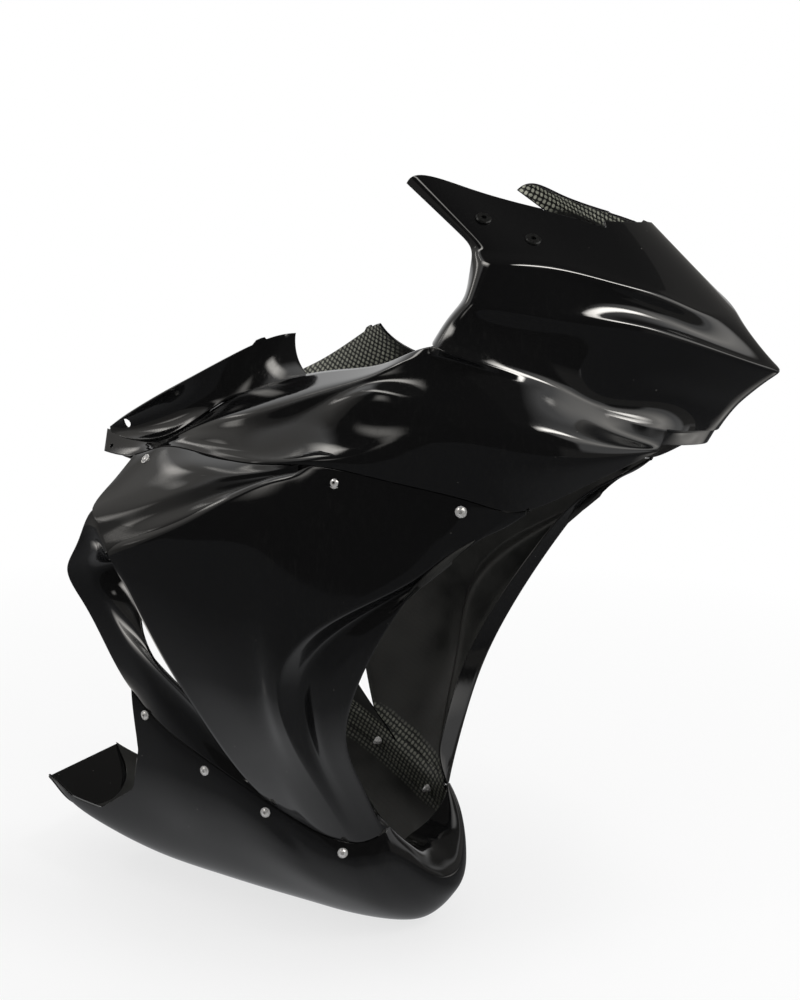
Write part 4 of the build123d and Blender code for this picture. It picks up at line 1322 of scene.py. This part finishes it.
def card(name, corners, brightness, soft):
    """A glowing card that fades out over a share of its width."""
    paint, tree = glow_paint(name)
    spot = node(tree, "ShaderNodeUVMap", uv_map="UVMap").outputs["UV"]
    flat = node(tree, "ShaderNodeSeparateXYZ", {"Vector": spot}).outputs
    shares = []
    for axis in ("X", "Y"):
        other = math_node(tree, "SUBTRACT", 1.0, flat[axis])
        shares.append(ramp(tree, math_node(tree, "MINIMUM", flat[axis], other), 0.0, soft))
    glow = node(tree, "ShaderNodeEmission", {"Color": WARM_WHITE, "Strength": brightness})
    clear = node(tree, "ShaderNodeBsdfTransparent")
    strength = math_node(tree, "MULTIPLY", *shares)
    show(tree, node(tree, "ShaderNodeMixShader", {0: strength, 1: clear.outputs[0], 2: glow.outputs[0]}))
    draft = bmesh.new()
    layer = draft.loops.layers.uv.new("UVMap")
    face = draft.faces.new([draft.verts.new(corner) for corner in corners])
    for loop, place in zip(face.loops, CARD_CORNERS):
        loop[layer].uv = place
    only_in_gloss(stage_mesh(name, draft, paint))


print("card tint:", WARM_WHITE[:3])

# %% [markdown]
# Most cards hang square to an axis, so a table gives each one's plane as a single number and its spans as
# pairs. The dim ones are the room: beside, above, behind, to the rear and ahead. The bright ones lie low on
# the floor or stand at the rear, where the arms and the scoop mirror them.

# %% Hang the cards
LOW = cad_box[0][2] - 0.0005
ROOM_SOFT = 0.12
CARDS = {
    # x, y and z in metres, brightness, soft share
    "card_beside": ((-4.2, 8.5), -2.4, (-2.0, 3.6), 0.04, ROOM_SOFT),
    "card_above": ((-2.0, 2.2), (-3.0, 3.0), 2.3, 0.06, ROOM_SOFT),
    "card_behind": ((-1.4, 3.0), 2.2, (-0.1, 3.4), 0.12, ROOM_SOFT),
    "card_bow": ((0.6, 3.6), 2.1, (-1.2, 0.05), 0.2, ROOM_SOFT),
    "card_rear": (-2.8, (-3.2, 1.2), (-1.6, 1.6), 0.2, ROOM_SOFT),
    "card_ahead": (3.4, (-2.6, 2.4), (-1.6, 0.7), 0.2, ROOM_SOFT),
    "card_rear_glow": (-2.2, (-1.8, 0.8), (0.1, 2.3), 0.6, 0.35),
    "card_rear_strip": (-2.2, (-0.7, 0.3), (1.06, 1.3), 5.0, 0.35),
    "card_rear_low": (-2.2, (-1.35, -0.65), (0.4, 0.7), 2.6, 0.35),
    "card_rear_high": (-2.2, (-0.8, 0.0), (1.75, 2.05), 5.0, 0.35),
    "card_arm": ((-1.8, -1.0), -2.3, (0.3, 1.15), 2.2, 0.4),
    "card_floor_front": ((0.8, 1.5), (0.35, 1.05), LOW, 1.8, 0.5),
    "card_floor_rear": ((-0.9, -0.3), (-0.3, 0.3), LOW, 2.5, 0.5),
}


def square_corners(*spans):
    """The corners of a rectangle that is flat along the one axis without a span."""
    first, second = [k for k, span in enumerate(spans) if isinstance(span, tuple)]
    corners = []
    for a, b in CARD_CORNERS:
        corner = list(spans)
        corner[first], corner[second] = spans[first][a], spans[second][b]
        corners.append(corner)
    return corners


for name, (x, y, z, brightness, soft) in CARDS.items():
    card(name, square_corners(x, y, z), brightness, soft)
print("square cards:", len(CARDS))

# %% [markdown]
# Three more cards are aimed. A line of light on a crease comes from one direction only, which follows from
# the crease's slope and the camera. So these are placed by the direction in which their spot on the part sees
# them.

# %% Aim the others
AIM_DISTANCE = 1.9
NOSE_PLACE = (0.6, -0.12, 0.08)
CREASE_PLACE = (0.15, -0.22, -0.06)


def aimed_card(name, seen_from, azimuth, elevation, width, height, brightness, soft):
    """A card seen from a place in a direction given in degrees."""
    turn, lift = math.radians(azimuth), math.radians(elevation)
    way = Vector((math.cos(lift) * math.cos(turn), math.cos(lift) * math.sin(turn), math.sin(lift)))
    centre = Vector(seen_from) + way * AIM_DISTANCE
    right = Vector((-math.sin(turn), math.cos(turn), 0)) * width / 2
    up = way.cross(right).normalized() * height / 2
    card(name, [centre + right * (2 * a - 1) + up * (2 * b - 1) for a, b in CARD_CORNERS], brightness, soft)


aimed_card("card_front", NOSE_PLACE, 12, 34, 2.6, 1.1, 3.6, 0.5)
aimed_card("card_brow", NOSE_PLACE, -20, 47.5, 1.6, 0.34, 26.0, 0.3)
aimed_card("card_crease", CREASE_PLACE, -138, 46, 1.5, 0.4, 8.0, 0.3)
print("aimed cards at", AIM_DISTANCE, "m")

# %% [markdown]
# The gloss also sees the floor. A white floor would turn all the lower faces grey, so a disc just above it
# stands in for it in reflections: dim, and brightest in an oval close under the part.

# %% Ground in the gloss
GROUND_RADIUS, GROUND_DROP = 4.0, 0.001
GROUND_SQUEEZE = (0.55, 1.0, 0.0)
GROUND_CENTRE = (0.066, -0.14, 0)
COOL_WHITE = (0.97, 0.98, 1.0, 1)

ground_paint, tree = glow_paint("card_ground")
squeezed = node(tree, "ShaderNodeVectorMath", {0: object_place(tree), 1: GROUND_SQUEEZE}, operation="MULTIPLY")
away = node(tree, "ShaderNodeVectorMath", {0: squeezed.outputs["Vector"], 1: GROUND_CENTRE},
            operation="DISTANCE").outputs["Value"]
oval = math_node(tree, "ADD", ramp(tree, away, 0.1, 0.28, 0.3, 0.0), ramp(tree, away, 0.2, 0.8, 0.2, 0.1))
show(tree, node(tree, "ShaderNodeEmission", {"Color": COOL_WHITE, "Strength": oval}))
only_in_gloss(stage_mesh("card_ground", disc(GROUND_RADIUS, GROUND_DROP), ground_paint))
print("ground radius:", GROUND_RADIUS)

# %% [markdown]
# ## Lamps
# Three soft lamps light what isn't glossy: the cloth, the dust and the floor. The gloss doesn't see them,
# since the cards already give it its lights. A lamp's power is worked out from how bright its face should
# look, so its size can change without making the picture brighter.

# %% Lamps
LAMPS = {
    # place, aim, width, height, brightness
    "brow_lamp": ((1.12, -0.25, 1.6), (0.62, -0.12, 0.13), 0.5, 0.35, 18.0),
    "front_lamp": ((1.9, 0.0, 1.25), (0.62, -0.1, 0.05), 0.8, 0.7, 3.5),
    "rear_lamp": ((-2.0, -0.3, 1.35), (0.2, -0.2, 0.0), 0.4, 0.3, 8.0),
}

for name, (place, aim, width, height, brightness) in LAMPS.items():
    data = bpy.data.lights.new(name, "AREA")
    data.shape = "RECTANGLE"
    data.size = width
    data.size_y = height
    data.energy = brightness * math.pi * width * height
    lamp = bpy.data.objects.new(name, data)
    lamp.location = place
    lamp.rotation_euler = (Vector(aim) - Vector(place)).to_track_quat("-Z", "Y").to_euler()
    lamp.visible_glossy = False
    bpy.context.scene.collection.objects.link(lamp)
print("lamps:", len(bpy.data.lights))

# %% [markdown]
# ## Finish
# The box of the solids is printed. The pieces should agree with it, because the skins are draped over the
# same points. They were joined to the frame when their solids were hidden.

# %% Print the box of the solids
print("cad box", cad_box)
